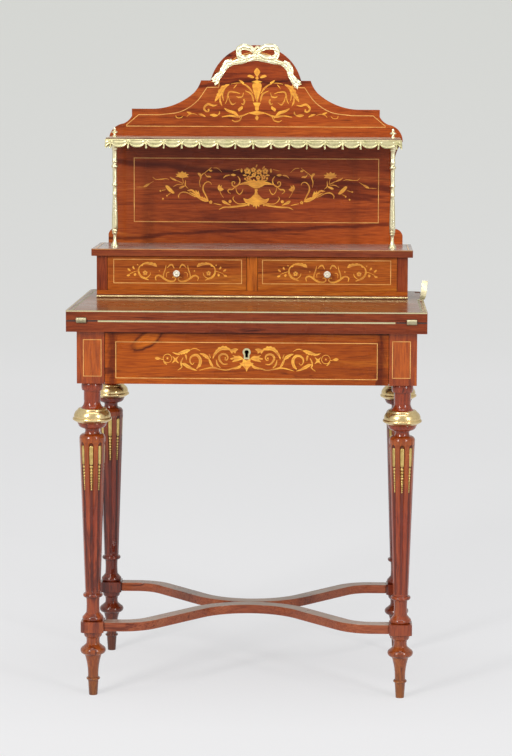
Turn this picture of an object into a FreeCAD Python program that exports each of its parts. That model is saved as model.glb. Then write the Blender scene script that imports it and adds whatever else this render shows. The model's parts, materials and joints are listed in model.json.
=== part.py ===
import FreeCAD, Part
import math
import os
import Sketcher

# Ladies' writing desk with a small superstructure, in millimetres.
# X runs to the right, Y to the back, Z up; the origin is on the floor under the middle of the top.

SIZES = {
    # the two halves of the writing surface and the fixed deck behind the folded leaf
    "top_width": 700,
    "top_depth": 452,
    "board_thickness": 22.5,
    "leaf_depth": 248,
    "leaf_thickness": 19,
    "leaf_gap": 0.4,
    "deck_joint_gap": 0.6,
    "deck_corner_radius": 16,
    "leather_thickness": 1,
    "leather_side_margin": 56,
    "leather_end_margin": 28,
    "banding_width": 11.5,
    "banding_thickness": 1,
    "banding_line_width": 2.5,
    "banding_edge_margin": 1.5,
    "fillet_height": 3,
    "fillet_depth": 3,
    "fillet_end_inset": 62,
    # the loose end of the right-hand banding
    "loose_root_length": 12,
    "loose_bend_radius": 26,
    "loose_bend_angle": 68,
    "loose_tip_length": 21,
    "loose_yaw": 15,
    # hinges of the leaf
    "hinge_inset": 30,
    "hinge_axis_offset": 0.3,
    "hinge_barrel_radius": 5.5,
    "hinge_pin_radius": 1.5,
    "hinge_running_clearance": 0.05,
    "hinge_outer_knuckle": 5.5,
    "hinge_centre_knuckle": 7.6,
    "hinge_side_clearance": 0.3,
    "hinge_plate_length": 40,
    "hinge_plate_thickness": 2.5,
    "hinge_mortise_clearance": 0.1,
    "hinge_barrel_clearance": 0.4,
    "screw_head_radius": 3,
    "screw_head_height": 1.8,
    "screw_shank_radius": 1.4,
    "screw_length": 11,
    "screw_pitch": 15,
    "screw_end_margin": 9,
    "screw_clearance": 0.05,
    # frame under the top
    "leg_height": 625,
    "frieze_height": 103,
    "post_width": 54,
    "side_overhang": 19,
    "front_overhang": 16,
    "apron_thickness": 18,
    "tenon_length": 14,
    "tenon_thickness": 8,
    "tenon_margin": 18,
    "tenon_clearance": 0.1,
    "rail_height": 16,
    "rail_depth": 31,
    "runner_height": 10,
    "guide_height": 14,
    # turned legs: length of each turning and its diameters, from the floor up
    "foot_length": 31,
    "foot_tip_diameter": 17,
    "foot_top_diameter": 21,
    "ankle_ring_length": 4,
    "ankle_ring_diameter": 25,
    "foot_taper_length": 48.3,
    "foot_taper_low_diameter": 21,
    "foot_taper_high_diameter": 35,
    "foot_torus_length": 13.5,
    "foot_torus_diameter": 42,
    "foot_cone_length": 6,
    "lower_neck_length": 13.1,
    "lower_neck_diameter": 28,
    "lower_bell_length": 6.2,
    "lower_ring_length": 6.4,
    "lower_ring_diameter": 36,
    "block_height": 21.5,
    "block_width": 45,
    "block_chamfer": 4,
    "upper_ring_length": 9.8,
    "upper_ring_diameter": 37,
    "upper_cone_length": 6.2,
    "upper_neck_length": 31.5,
    "upper_neck_diameter": 27,
    "shaft_ring_length": 6.8,
    "shaft_ring_diameter": 35.6,
    "shaft_low_diameter": 30,
    "shaft_high_diameter": 51,
    "shaft_cap_length": 8,
    "shaft_cap_diameter": 37,
    "collar_neck_length": 11,
    "collar_neck_diameter": 31,
    "ovolo_length": 8.4,
    "ovolo_low_diameter": 34,
    "seat_ring_length": 2.8,
    "seat_ring_diameter": 55.6,
    "collar_core_diameter": 43,
    "cove_length": 16,
    "cove_diameter": 45,
    "top_neck_length": 19.4,
    "top_neck_diameter": 33,
    "top_ring_length": 15.5,
    "top_ring_diameter": 40,
    # arcs of the turnings, as shares of each turning's length
    "ring_swell": 0.6,
    "torus_swell": 0.55,
    "bell_swell": 1.15,
    "top_ring_swell": 1.5,
    "foot_taper_hollow": 2.6,
    "lower_neck_hollow": 1.6,
    "upper_neck_hollow": 5,
    "shaft_cap_swell": 1.2,
    "cove_hollow": 1,
    # brass collar
    "collar_height": 28.5,
    "collar_foot_diameter": 58,
    "collar_lip_diameter": 73.6,
    "collar_lip_low_height": 4.6,
    "collar_lip_high_height": 9.8,
    "collar_lip_bulge_radius": 2.9,
    "collar_belly_diameter": 71.6,
    "collar_belly_radius": 15,
    "collar_shoulder_diameter": 59,
    "collar_shoulder_height": 24.4,
    "collar_step": 0.8,
    "collar_rim_diameter": 49,
    "collar_rim_radius": 4.5,
    "collar_clearance": 0.3,
    # flutes of the shaft and the brass strips in them
    "flute_low_margin": 6,
    "flute_high_margin": 13,
    "flute_low_radius": 3.2,
    "flute_high_radius": 5.4,
    "flute_rise": 1.6,
    "inlay_length": 38.4,
    "inlay_end_margin": 1,
    "inlay_depth": 0.3,
    "inlay_face_width": 6.4,
    "inlay_width": 7.4,
    "inlay_bevel": 0.5,
    "inlay_waist_width": 6.6,
    "inlay_waist_depth": 1.5,
    "inlay_floor_width": 2.4,
    "inlay_thickness": 2.75,
    # serpentine stretcher rails
    "stretcher_width": 29,
    "stretcher_height": 18,
    "stretcher_straight": 34,
    "stretcher_bend_share": 0.71,
    "stretcher_outer_share": 0.36,
    "stretcher_joint_gap": 0.2,
    # frieze drawer
    "drawer_gap": 1,
    "drawer_front_thickness": 22,
    "drawer_side_thickness": 10,
    "drawer_side_clearance": 1,
    "drawer_box_height": 66,
    "drawer_back_thickness": 10,
    "drawer_bottom_thickness": 5,
    "drawer_bottom_lift": 7,
    "drawer_groove_depth": 4,
    "drawer_seat_gap": 0.3,
    "drawer_depth": 350,
    "guide_clearance": 0.5,
    "keyhole_height": 63.6,
    "escutcheon_width": 15.6,
    "escutcheon_height": 21.5,
    "escutcheon_tail_width": 11,
    "escutcheon_thickness": 1.2,
    "keyhole_radius": 4.2,
    "keyhole_slot_width": 5.4,
    "keyhole_slot_length": 10.4,
    "lock_width": 56,
    "lock_thickness": 11,
    "lock_drop": 62,
    "bolt_width": 20,
    "bolt_thickness": 4,
    "bolt_length": 30,
    "bolt_throw": 5,
    "bolt_clearance": 0.4,
    # case of the superstructure
    "case_inset": 32,
    "case_setback": 16,
    "case_inner_height": 70.5,
    "case_side_thickness": 21.5,
    "case_divider_thickness": 22,
    "case_bottom_thickness": 15.5,
    "case_top_thickness": 15,
    "case_top_side_overhang": 10,
    "case_top_front_overhang": 8,
    "case_top_line_margin": 7,
    "case_top_line_width": 3,
    "case_top_line_thickness": 1,
    "rope_height": 7,
    "rope_depth": 5,
    "rope_corner_radius": 3.7,
    # small drawers
    "small_gap": 0.8,
    "small_front_thickness": 16,
    "small_side_thickness": 8,
    "small_side_clearance": 0.7,
    "small_box_height": 56,
    "small_bottom_thickness": 4,
    "small_seat_gap": 0.3,
    "small_rear_room": 8,
    "knob_diameter": 15,
    "knob_length": 15,
    "knob_lip_length": 1.5,
    "knob_neck_length": 4.5,
    "knob_neck_hollow": 6,
    "knob_head_radius": 5.25,
    "knob_cap_height": 4.5,
    "knob_base_diameter": 11,
    "knob_neck_diameter": 6.5,
    "knob_shank_radius": 2.5,
    "knob_clearance": 0.1,
    # back panel and crest
    "panel_thickness": 14,
    "panel_rear_inset": 6,
    "panel_side_inset": 7.5,
    "panel_waist_inset": 18,
    "panel_foot_height": 18,
    "panel_foot_shoulder": 14,
    "panel_waist_rise": 175.1,
    "panel_waist_radius": 72,
    "lobe_inset": 1.5,
    "lobe_rise": 216.1,
    "lobe_top_inset": 32,
    "lobe_top_rise": 251.1,
    "shoulder_inset": 50,
    "shoulder_low_rise": 267.1,
    "shoulder_high_rise": 282.1,
    "shoulder_inner_inset": 96,
    "crest_knee_half_width": 130,
    "crest_knee_rise": 316.1,
    "crest_step_half_width": 115,
    "crest_step_rise": 342.1,
    "crest_scoop_radius": 134,
    "crest_step_scoop_radius": 67,
    "arch_half_width": 95,
    "arch_radius": 98,
    # shelf, gallery and columns
    "shelf_inset": 15,
    "shelf_depth": 124,
    "shelf_thickness": 11,
    "shelf_rise": 225.1,
    "gallery_thickness": 2,
    "gallery_band_height": 10,
    "gallery_swag_gap": 4.7,
    "gallery_swag_sag": 8,
    "gallery_tassel_width": 6,
    "gallery_tassel_drop": 12,
    "gallery_end_margin": 9.4,
    "column_inset": 31.5,
    "column_setback": 18,
    "column_base_height": 4,
    "column_base_diameter": 17,
    "column_foot_neck_height": 27.5,
    "column_foot_neck_diameter": 6.4,
    "column_ring_height": 3.5,
    "column_low_ring_diameter": 11.5,
    "column_lower_shaft_height": 91,
    "column_lower_shaft_low_diameter": 12.6,
    "column_lower_shaft_high_diameter": 8.4,
    "column_middle_ring_diameter": 11,
    "column_baluster_height": 33.5,
    "column_baluster_diameter": 8.4,
    "column_high_ring_diameter": 14,
    "column_upper_shaft_diameter": 10.6,
    "column_stem_diameter": 5,
    "column_stem_clearance": 0.1,
    "finial_disc_height": 3,
    "finial_disc_diameter": 11,
    "finial_neck_height": 6,
    "finial_neck_diameter": 5,
    "finial_bar_height": 3,
    "finial_bar_diameter": 14,
    "finial_ball_height": 8,
    "finial_ball_diameter": 5,
    "column_base_swell": 0.7,
    "column_neck_hollow": 1.6,
    "column_baluster_swell": 4,
    "finial_neck_hollow": 1,
    "finial_bar_swell": 0.7,
    "finial_ball_swell": 0.8,
    # ribbon bow on the crest
    "bow_thickness": 3.5,
    "bow_band_width": 11,
    "bow_band_inset": 13,
    "bow_reach_angle": 68,
    "bow_loop_width": 40,
    "bow_loop_height": 34,
    "bow_loop_border": 9,
    "bow_loop_offset": 23,
    "bow_top_overshoot": 4,
}


class Size:
    """A length with its value now and its text in the sheet's terms, for expressions."""

    def __init__(self, value, text):
        self.value = value
        self.text = text

    def __add__(self, other):
        return combine(self, "+", other)

    def __radd__(self, other):
        return combine(other, "+", self)

    def __sub__(self, other):
        return combine(self, "-", other)

    def __rsub__(self, other):
        return combine(other, "-", self)

    def __mul__(self, other):
        return combine(self, "*", other)

    def __rmul__(self, other):
        return combine(other, "*", self)

    def __truediv__(self, other):
        return combine(self, "/", other)

    def __neg__(self):
        return combine(ZERO, "-", self)


def as_size(number):
    """A Size as it is, or a plain number made into one."""
    if isinstance(number, Size):
        return number
    return Size(float(number), str(number))


def combine(left, sign, right):
    left = as_size(left)
    right = as_size(right)
    text = f"({left.text} {sign} {right.text})"
    if sign == "+":
        return Size(left.value + right.value, text)
    if sign == "-":
        return Size(left.value - right.value, text)
    if sign == "*":
        return Size(left.value * right.value, text)
    return Size(left.value / right.value, text)


ZERO = as_size(0)

doc = FreeCAD.newDocument("WritingDesk")
sheet = doc.addObject("Spreadsheet::Sheet", "Sizes")
for row, (alias, number) in enumerate(SIZES.items(), start=1):
    sheet.set(f"A{row}", alias)
    sheet.set(f"B{row}", str(number))
    sheet.setAlias(f"B{row}", alias)
doc.recompute()


class Sheet:
    """The sheet's cells as attributes, each one a Size."""

    def __getattr__(self, alias):
        return Size(float(SIZES[alias]), "Sizes." + alias)


s = Sheet()
places = doc.addObject("App::VarSet", "Places")
nodes = []


# ---------------------------------------------------------------- helpers

def bind(thing, path, size):
    """Tie one property to the sheet."""
    thing.setExpression(path, as_size(size).text)


def named(name, size):
    """Keep a worked-out size under a short name, so that expressions can use it."""
    places.addProperty("App::PropertyFloat", name)
    setattr(places, name, size.value)
    bind(places, name, size)
    return Size(size.value, "Places." + name)


def sine(angle):
    """The sine of a size in degrees."""
    return Size(math.sin(math.radians(angle.value)), f"sin({angle.text} * 1deg)")


def cosine(angle):
    """The cosine of a size in degrees."""
    return Size(math.cos(math.radians(angle.value)), f"cos({angle.text} * 1deg)")


def arctangent(ratio):
    """The angle in degrees whose tangent is a ratio."""
    return Size(math.degrees(math.atan(ratio.value)), f"(atan({ratio.text}) / 1deg)")


def root(size):
    """The square root of a size."""
    return Size(math.sqrt(size.value), f"sqrt({size.text})")


def place(thing, x=ZERO, y=ZERO, z=ZERO):
    """Put an object's own origin at a place given in sizes."""
    bind(thing, "Placement.Base.x", x)
    bind(thing, "Placement.Base.y", y)
    bind(thing, "Placement.Base.z", z)
    return thing


def turn(thing, axis, angle):
    """Turn an object by a fixed angle about one of its own axes."""
    thing.Placement = FreeCAD.Placement(FreeCAD.Vector(0, 0, 0), FreeCAD.Rotation(axis, angle))
    return thing


def node(thing, label):
    """Name a finished sub-part and list it for export."""
    thing.Label = label
    nodes.append(thing)
    return thing


def box(name, x, y, z):
    """A rectangular block between two limits on each axis."""
    block = doc.addObject("Part::Box", name)
    bind(block, "Length", x[1] - x[0])
    bind(block, "Width", y[1] - y[0])
    bind(block, "Height", z[1] - z[0])
    return place(block, x[0], y[0], z[0])


def rod(name, radius, length, x, y, z, axis="Z"):
    """A round bar that starts at a point and runs along one axis."""
    bar = doc.addObject("Part::Cylinder", name)
    bind(bar, "Radius", radius)
    bind(bar, "Height", length)
    if axis == "X":
        turn(bar, FreeCAD.Vector(0, 1, 0), 90)
    if axis == "Y":
        turn(bar, FreeCAD.Vector(1, 0, 0), -90)
    return place(bar, x, y, z)


def cone(name, low_radius, high_radius, height, x, y, z):
    """An upright cone frustum that stands at a point."""
    shape = doc.addObject("Part::Cone", name)
    bind(shape, "Radius1", low_radius)
    bind(shape, "Radius2", high_radius)
    bind(shape, "Height", height)
    return place(shape, x, y, z)


def fuse(name, parts):
    """One solid from several."""
    joined = doc.addObject("Part::MultiFuse", name)
    joined.Shapes = parts
    joined.Refine = True
    return joined


def cut(name, base, tools):
    """A block with every tool taken out of it."""
    result = doc.addObject("Part::Cut", name)
    result.Base = base
    result.Tool = tools[0] if len(tools) == 1 else fuse(name + "_tools", tools)
    return result


def group(name, parts):
    """Separate solids kept together in one node."""
    bundle = doc.addObject("Part::Compound", name)
    bundle.Links = parts
    return bundle


def copy_at(name, template, x, y):
    """A separate copy of a finished shape as it stands, moved sideways."""
    shape = template.Shape.copy()
    stand = shape.Placement.toMatrix()
    shape.Placement = FreeCAD.Placement()
    shape.transformShape(stand, True)
    copy = doc.addObject("Part::Feature", name)
    copy.Shape = shape
    return place(copy, x, y)


def origin_plane(body, role):
    return next(f for f in body.Origin.OriginFeatures if f.Role == role)


def outline(body, name, role, points):
    """A closed sketch through the points, drawn anticlockwise.

    Each point is (x, y) or (x, y, radius): with a radius, the edge that leads to it is an arc, which
    swells outward when the radius is positive and is hollow when it is negative.
    """
    sketch = body.newObject("Sketcher::SketchObject", name)
    sketch.AttachmentSupport = [(origin_plane(body, role), "")]
    sketch.MapMode = "FlatFace"
    rules = []
    texts = {}
    ends = []
    for before, after in zip(points, points[1:] + points[:1]):
        start = FreeCAD.Vector(before[0].value, before[1].value, 0)
        stop = FreeCAD.Vector(after[0].value, after[1].value, 0)
        if len(after) == 2:
            edge = sketch.addGeometry(Part.LineSegment(start, stop), False)
            ends.append((edge, 1, 2))
            continue
        swells = after[2].value > 0
        radius = abs(after[2].value)
        chord = stop - start
        middle = (start + stop) * 0.5
        depth = math.sqrt(radius ** 2 - (chord.Length / 2) ** 2)
        side = FreeCAD.Vector(-chord.y, chord.x, 0).normalize()
        centre = middle + side * (depth if swells else -depth)
        first, last = (start, stop) if swells else (stop, start)
        circle = Part.Circle(centre, FreeCAD.Vector(0, 0, 1), radius)
        arc = Part.ArcOfCircle(circle, circle.parameter(first), circle.parameter(last))
        edge = sketch.addGeometry(arc, False)
        texts[len(rules)] = after[2].text if swells else (-after[2]).text
        rules.append(Sketcher.Constraint("Radius", edge, radius))
        ends.append((edge, 1, 2) if swells else (edge, 2, 1))
    for count, here in enumerate(ends):
        before = ends[count - 1]
        edge, first = here[:2]
        rules.append(Sketcher.Constraint("Coincident", before[0], before[2], edge, first))
        for kind, axis, size in (("DistanceX", -2, points[count][0]), ("DistanceY", -1, points[count][1])):
            if size is ZERO:
                rules.append(Sketcher.Constraint("PointOnObject", edge, first, axis))
            else:
                texts[len(rules)] = size.text
                rules.append(Sketcher.Constraint(kind, -1, 1, edge, first, size.value))
    sketch.addConstraint(rules)
    for index, text in texts.items():
        sketch.setExpression(f"Constraints[{index}]", text)
    return sketch


def new_body(name, x=ZERO, y=ZERO, z=ZERO):
    return place(doc.addObject("PartDesign::Body", name), x, y, z)


def pad(body, name, role, points, length, forward=True):
    """A flat shape thickened by a length; forward is along the sketch plane's normal."""
    sketch = outline(body, name + "_outline", role, points)
    feature = body.newObject("PartDesign::Pad", name)
    feature.Profile = sketch
    bind(feature, "Length", length)
    feature.Reversed = not forward
    return feature


def turned(body, name, points, role="XZ_Plane"):
    """A solid of revolution about the body's upright axis."""
    sketch = outline(body, name + "_profile", role, points)
    feature = body.newObject("PartDesign::Revolution", name)
    feature.Profile = sketch
    feature.ReferenceAxis = (sketch, ["V_Axis"])
    feature.Angle = 360
    return feature


def stack(name, turnings, start=ZERO):
    """The outer profile of turnings piled up from a height.

    Each turning is (length, low radius, high radius) or (length, low radius, high radius, swell), and
    swell is the arc's radius as a share of the length: positive swells outward, negative is hollow.
    """
    points = [(ZERO, start)]
    height = start
    for number, turning in enumerate(turnings):
        length, low, high = turning[:3]
        if points[-1][0].text != low.text:
            points.append((low, height))
        height = named(f"{name}_height_{number}", height + length)
        if len(turning) == 4:
            points.append((high, height, length * turning[3]))
        else:
            points.append((high, height))
    points.append((ZERO, height))
    return points


# ---------------------------------------------------------------- shared places

half_width = named("half_width", s.top_width / 2)
front = named("front", -s.top_depth / 2)
back = named("back", s.top_depth / 2)
board_low = named("board_low", s.leg_height + s.frieze_height)
board_high = named("board_high", board_low + s.board_thickness)
leaf_low = named("leaf_low", board_high + s.leaf_gap)
leaf_high = named("leaf_high", leaf_low + s.leaf_thickness)
leaf_back = named("leaf_back", front + s.leaf_depth)
deck_front = named("deck_front", leaf_back + s.deck_joint_gap)

frame_half = named("frame_half", half_width - s.side_overhang)
frame_front = named("frame_front", front + s.front_overhang)
frame_back = named("frame_back", back - s.front_overhang)
post_inner = named("post_inner", frame_half - s.post_width)
post_front_inner = named("post_front_inner", frame_front + s.post_width)
post_back_inner = named("post_back_inner", frame_back - s.post_width)
leg_x = named("leg_x", frame_half - s.post_width / 2)
leg_y = named("leg_y", frame_back - s.post_width / 2)
block_low = named("block_low", s.foot_length + s.ankle_ring_length + s.foot_taper_length
                  + s.foot_torus_length + s.foot_cone_length + s.lower_neck_length
                  + s.lower_bell_length + s.lower_ring_length)
collar_low = named("collar_low", s.leg_height - s.top_ring_length - s.top_neck_length
                   - s.cove_length - s.collar_height)
shaft_low = named("shaft_low", block_low + s.block_height + s.upper_ring_length
                  + s.upper_cone_length + s.upper_neck_length + s.shaft_ring_length)
shaft_high = named("shaft_high", collar_low - s.seat_ring_length - s.ovolo_length
                   - s.collar_neck_length - s.shaft_cap_length)
shaft_length = named("shaft_length", shaft_high - shaft_low)

panel_back = named("panel_back", back - s.panel_rear_inset)
panel_front = named("panel_front", panel_back - s.panel_thickness)
case_half = named("case_half", half_width - s.case_inset)
case_front = named("case_front", leaf_back + s.case_setback)
case_floor = named("case_floor", leaf_high + s.case_bottom_thickness)
case_ceiling = named("case_ceiling", case_floor + s.case_inner_height)
case_top_high = named("case_top_high", case_ceiling + s.case_top_thickness)
case_top_half = named("case_top_half", case_half + s.case_top_side_overhang)
case_top_front = named("case_top_front", case_front - s.case_top_front_overhang)

# ---------------------------------------------------------------- legs

def leg_turnings():
    """Lengths and radii of one leg from the floor to the post."""
    return [
        (s.foot_length, s.foot_tip_diameter / 2, s.foot_top_diameter / 2),
        (s.ankle_ring_length, s.ankle_ring_diameter / 2, s.ankle_ring_diameter / 2, s.ring_swell),
        (s.foot_taper_length, s.foot_taper_low_diameter / 2, s.foot_taper_high_diameter / 2,
         -s.foot_taper_hollow),
        (s.foot_torus_length, s.foot_torus_diameter / 2, s.foot_torus_diameter / 2, s.torus_swell),
        (s.foot_cone_length, s.foot_torus_diameter / 2, s.lower_neck_diameter / 2),
        (s.lower_neck_length, s.lower_neck_diameter / 2, s.lower_neck_diameter / 2, -s.lower_neck_hollow),
        (s.lower_bell_length, s.lower_neck_diameter / 2, s.lower_ring_diameter / 2, s.bell_swell),
        (s.lower_ring_length, s.lower_ring_diameter / 2, s.lower_ring_diameter / 2, s.top_ring_swell),
        (s.block_height, s.lower_neck_diameter / 2, s.lower_neck_diameter / 2),
        (s.upper_ring_length, s.upper_ring_diameter / 2, s.upper_ring_diameter / 2, s.ring_swell),
        (s.upper_cone_length, s.upper_ring_diameter / 2, s.upper_neck_diameter / 2),
        (s.upper_neck_length, s.upper_neck_diameter / 2, s.upper_neck_diameter / 2, -s.upper_neck_hollow),
        (s.shaft_ring_length, s.shaft_ring_diameter / 2, s.shaft_ring_diameter / 2, s.ring_swell),
        (shaft_length, s.shaft_low_diameter / 2, s.shaft_high_diameter / 2),
        (s.shaft_cap_length, s.shaft_high_diameter / 2, s.shaft_cap_diameter / 2, s.shaft_cap_swell),
        (s.collar_neck_length, s.collar_neck_diameter / 2, s.collar_neck_diameter / 2, -s.cove_hollow),
        (s.ovolo_length, s.ovolo_low_diameter / 2, s.seat_ring_diameter / 2, s.bell_swell),
        (s.seat_ring_length, s.seat_ring_diameter / 2, s.seat_ring_diameter / 2, s.torus_swell),
        (s.collar_height, s.collar_core_diameter / 2, s.collar_core_diameter / 2),
        (s.cove_length, s.cove_diameter / 2, s.top_neck_diameter / 2, -s.cove_hollow),
        (s.top_neck_length, s.top_neck_diameter / 2, s.top_neck_diameter / 2),
        (s.top_ring_length, s.top_ring_diameter / 2, s.top_ring_diameter / 2, s.top_ring_swell),
    ]


def shaft_radius(height):
    """The shaft's radius at a height above its low end."""
    growth = (s.shaft_high_diameter - s.shaft_low_diameter) / 2
    return s.shaft_low_diameter / 2 + growth * (height / shaft_length)


def sloped_body(name, low, high, rise):
    """A body whose upright axis follows the shaft's slope on its +X side, and its length.

    low and high are heights above the shaft's low end, and rise is how far the axis stands out from
    the shaft's surface.
    """
    low_out = shaft_radius(low) + rise
    high_out = shaft_radius(high) + rise
    run = high - low
    lean = high_out - low_out
    length = named(name + "_length", root(run * run + lean * lean))
    body = new_body(name, low_out, ZERO, shaft_low + low)
    body.Placement.Rotation = FreeCAD.Rotation(FreeCAD.Vector(0, 1, 0), 1)
    bind(body, "Placement.Rotation.Angle", arctangent(lean / run))
    return body, length


FLUTES = 8


def around(name, template, x=ZERO, y=ZERO):
    """Copies of a shape set evenly round an upright axis at a place."""
    copies = []
    for number in range(FLUTES):
        copy = copy_at(f"{name}_{number}", template, x, y)
        angle = 360 / FLUTES * number
        copy.Placement.Rotation = FreeCAD.Rotation(FreeCAD.Vector(0, 0, 1), angle)
        copies.append(copy)
    return copies


leg = new_body("leg_turning")
turned(leg, "leg_turned", stack("leg", leg_turnings()))
flute_span = (s.flute_low_margin, shaft_length - s.flute_high_margin)
flute, flute_length = sloped_body("flute", flute_span[0], flute_span[1], s.flute_rise)
turned(flute, "flute_turned", [
    (ZERO, -s.flute_low_radius),
    (s.flute_low_radius, ZERO, s.flute_low_radius),
    (s.flute_high_radius, flute_length),
    (ZERO, flute_length + s.flute_high_radius, s.flute_high_radius),
], "YZ_Plane")

# the block that takes the stretcher, with its corners taken off, and the square post beside the frieze
post_span = (-s.post_width / 2, s.post_width / 2)
block_half = s.block_width / 2
block_flat = block_half - s.block_chamfer
leg_block = new_body("leg_block", z=block_low)
pad(leg_block, "leg_block_pad", "XY_Plane", [
    (block_half, -block_flat),
    (block_half, block_flat),
    (block_flat, block_half),
    (-block_flat, block_half),
    (-block_half, block_flat),
    (-block_half, -block_flat),
    (-block_flat, -block_half),
    (block_flat, -block_half),
], s.block_height)
leg_post = box("leg_post", post_span, post_span, (s.leg_height, board_low))
# brass strips in the flutes: each is filed flush with the shaft and fills its flute down to the floor
inlay_high = flute_span[1] - s.inlay_end_margin
inlay, strip_length = sloped_body("strip", inlay_high - s.inlay_length, inlay_high, -s.inlay_depth)
pad(inlay, "strip_bar", "XY_Plane", [
    (ZERO, -s.inlay_face_width / 2),
    (ZERO, s.inlay_face_width / 2),
    (-s.inlay_bevel, s.inlay_width / 2),
    (-s.inlay_waist_depth, s.inlay_waist_width / 2),
    (-s.inlay_thickness, s.inlay_floor_width / 2),
    (-s.inlay_thickness, -s.inlay_floor_width / 2),
    (-s.inlay_waist_depth, -s.inlay_waist_width / 2),
    (-s.inlay_bevel, -s.inlay_width / 2),
], strip_length)

doc.recompute()
leg_whole = cut("leg_whole", fuse("leg_plain", [leg, leg_block, leg_post]), around("flute_copy", flute))
doc.recompute()

LEG_PLACES = {
    "leg_front_left": (-leg_x, -leg_y),
    "leg_front_right": (leg_x, -leg_y),
    "leg_rear_left": (-leg_x, leg_y),
    "leg_rear_right": (leg_x, leg_y),
}


def tenon(name, low, high, span_z, clearance=ZERO):
    """A tenon block in plan limits, grown by a clearance for its mortise."""
    return box(name, (low[0] - clearance, high[0] + clearance), (low[1] - clearance, high[1] + clearance),
               (span_z[0] - clearance, span_z[1] + clearance))


tenon_z = (s.leg_height + s.tenon_margin, board_low - s.tenon_margin)
apron_outer = frame_half
apron_inner = frame_half - s.apron_thickness
apron_middle = frame_half - s.apron_thickness / 2
back_inner = frame_back - s.apron_thickness
back_middle = frame_back - s.apron_thickness / 2
half_tenon = s.tenon_thickness / 2
rail_back = post_front_inner
rail_front = rail_back - s.rail_depth
rail_middle_y = rail_front + s.rail_depth / 2
rail_middle_z = s.leg_height + s.rail_height / 2
rail_tenon_y = (rail_middle_y - half_tenon, rail_middle_y + half_tenon)
rail_tenon_z = (rail_middle_z - half_tenon / 2, rail_middle_z + half_tenon / 2)


def side_tenon(side, end, name, clearance=ZERO):
    """Tenon of a side apron into a post: side is -1 or 1 in X, end is -1 (front) or 1 (rear)."""
    x = (side * apron_middle - half_tenon, side * apron_middle + half_tenon)
    if end < 0:
        y = (post_front_inner - s.tenon_length, post_front_inner)
    else:
        y = (post_back_inner, post_back_inner + s.tenon_length)
    return tenon(name, (x[0], y[0]), (x[1], y[1]), tenon_z, clearance)


def across_tenon(side, y, span_z, name, clearance=ZERO):
    """Tenon along X into a left (-1) or right (1) post."""
    near = side * post_inner
    far = side * (post_inner + s.tenon_length)
    x = (far, near) if side < 0 else (near, far)
    return tenon(name, (x[0], y[0]), (x[1], y[1]), span_z, clearance)


back_tenon_y = (back_middle - half_tenon, back_middle + half_tenon)

for label, (x, y) in LEG_PLACES.items():
    side = -1 if "left" in label else 1
    end = -1 if "front" in label else 1
    blank = copy_at(label + "_blank", leg_whole, x, y)
    across_y, across_z = (rail_tenon_y, rail_tenon_z) if end < 0 else (back_tenon_y, tenon_z)
    mortises = [
        side_tenon(side, end, label + "_side_mortise", s.tenon_clearance),
        across_tenon(side, across_y, across_z, label + "_across_mortise", s.tenon_clearance),
    ]
    node(cut(label + "_mortised", blank, mortises), label)

strips = []
for label, (x, y) in LEG_PLACES.items():
    strips += around(label + "_strip", inlay, x, y)
node(group("flute_strips", strips), "flute_inlays")

# ---------------------------------------------------------------- brass collars

collar_bore = s.collar_core_diameter / 2 + s.collar_clearance
collar_throat = s.collar_shoulder_diameter / 2 - s.collar_step
for label, (x, y) in LEG_PLACES.items():
    body = new_body(label.replace("leg", "collar_body"), x, y, collar_low)
    turned(body, body.Name + "_ring", [
        (collar_bore, ZERO),
        (s.collar_foot_diameter / 2, ZERO),
        (s.collar_lip_diameter / 2, s.collar_lip_low_height),
        (s.collar_lip_diameter / 2, s.collar_lip_high_height, s.collar_lip_bulge_radius),
        (s.collar_belly_diameter / 2, s.collar_lip_high_height),
        (s.collar_shoulder_diameter / 2, s.collar_shoulder_height, s.collar_belly_radius),
        (collar_throat, s.collar_shoulder_height),
        (s.collar_rim_diameter / 2, s.collar_height, s.collar_rim_radius),
        (collar_bore, s.collar_height),
    ])
    node(body, label.replace("leg", "leg_collar"))

# ---------------------------------------------------------------- frieze frame

for side, word in ((-1, "left"), (1, "right")):
    x = (-apron_outer, -apron_inner) if side < 0 else (apron_inner, apron_outer)
    board = box(f"apron_{word}_board", x, (post_front_inner, post_back_inner), (s.leg_height, board_low))
    tenons = [side_tenon(side, end, f"apron_{word}_tenon_{end + 1}") for end in (-1, 1)]
    node(fuse(f"apron_{word}_whole", [board] + tenons), f"apron_{word}")

back_board = box("apron_back_board", (-post_inner, post_inner), (back_inner, frame_back),
                 (s.leg_height, board_low))
back_tenons = [across_tenon(side, back_tenon_y, tenon_z, f"apron_back_tenon_{side + 1}")
               for side in (-1, 1)]
node(fuse("apron_back_whole", [back_board] + back_tenons), "apron_back")

rail_high = s.leg_height + s.rail_height
rail_board = box("front_rail_board", (-post_inner, post_inner), (rail_front, rail_back),
                 (s.leg_height, rail_high))
rail_tenons = [across_tenon(side, rail_tenon_y, rail_tenon_z, f"front_rail_tenon_{side + 1}")
               for side in (-1, 1)]
node(fuse("front_rail_whole", [rail_board] + rail_tenons), "front_rail")

# ---------------------------------------------------------------- frieze drawer

drawer_half = post_inner - s.drawer_gap
box_half = post_inner - s.drawer_side_clearance - s.guide_clearance
box_low = rail_high + s.drawer_seat_gap
box_high = box_low + s.drawer_box_height
box_front = frame_front + s.drawer_front_thickness
box_back = frame_front + s.drawer_depth
drawer_low = s.leg_height
drawer_high = board_low - s.drawer_gap
bottom_low = box_low + s.drawer_bottom_lift
bottom_high = bottom_low + s.drawer_bottom_thickness
side_inner = box_half - s.drawer_side_thickness

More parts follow.
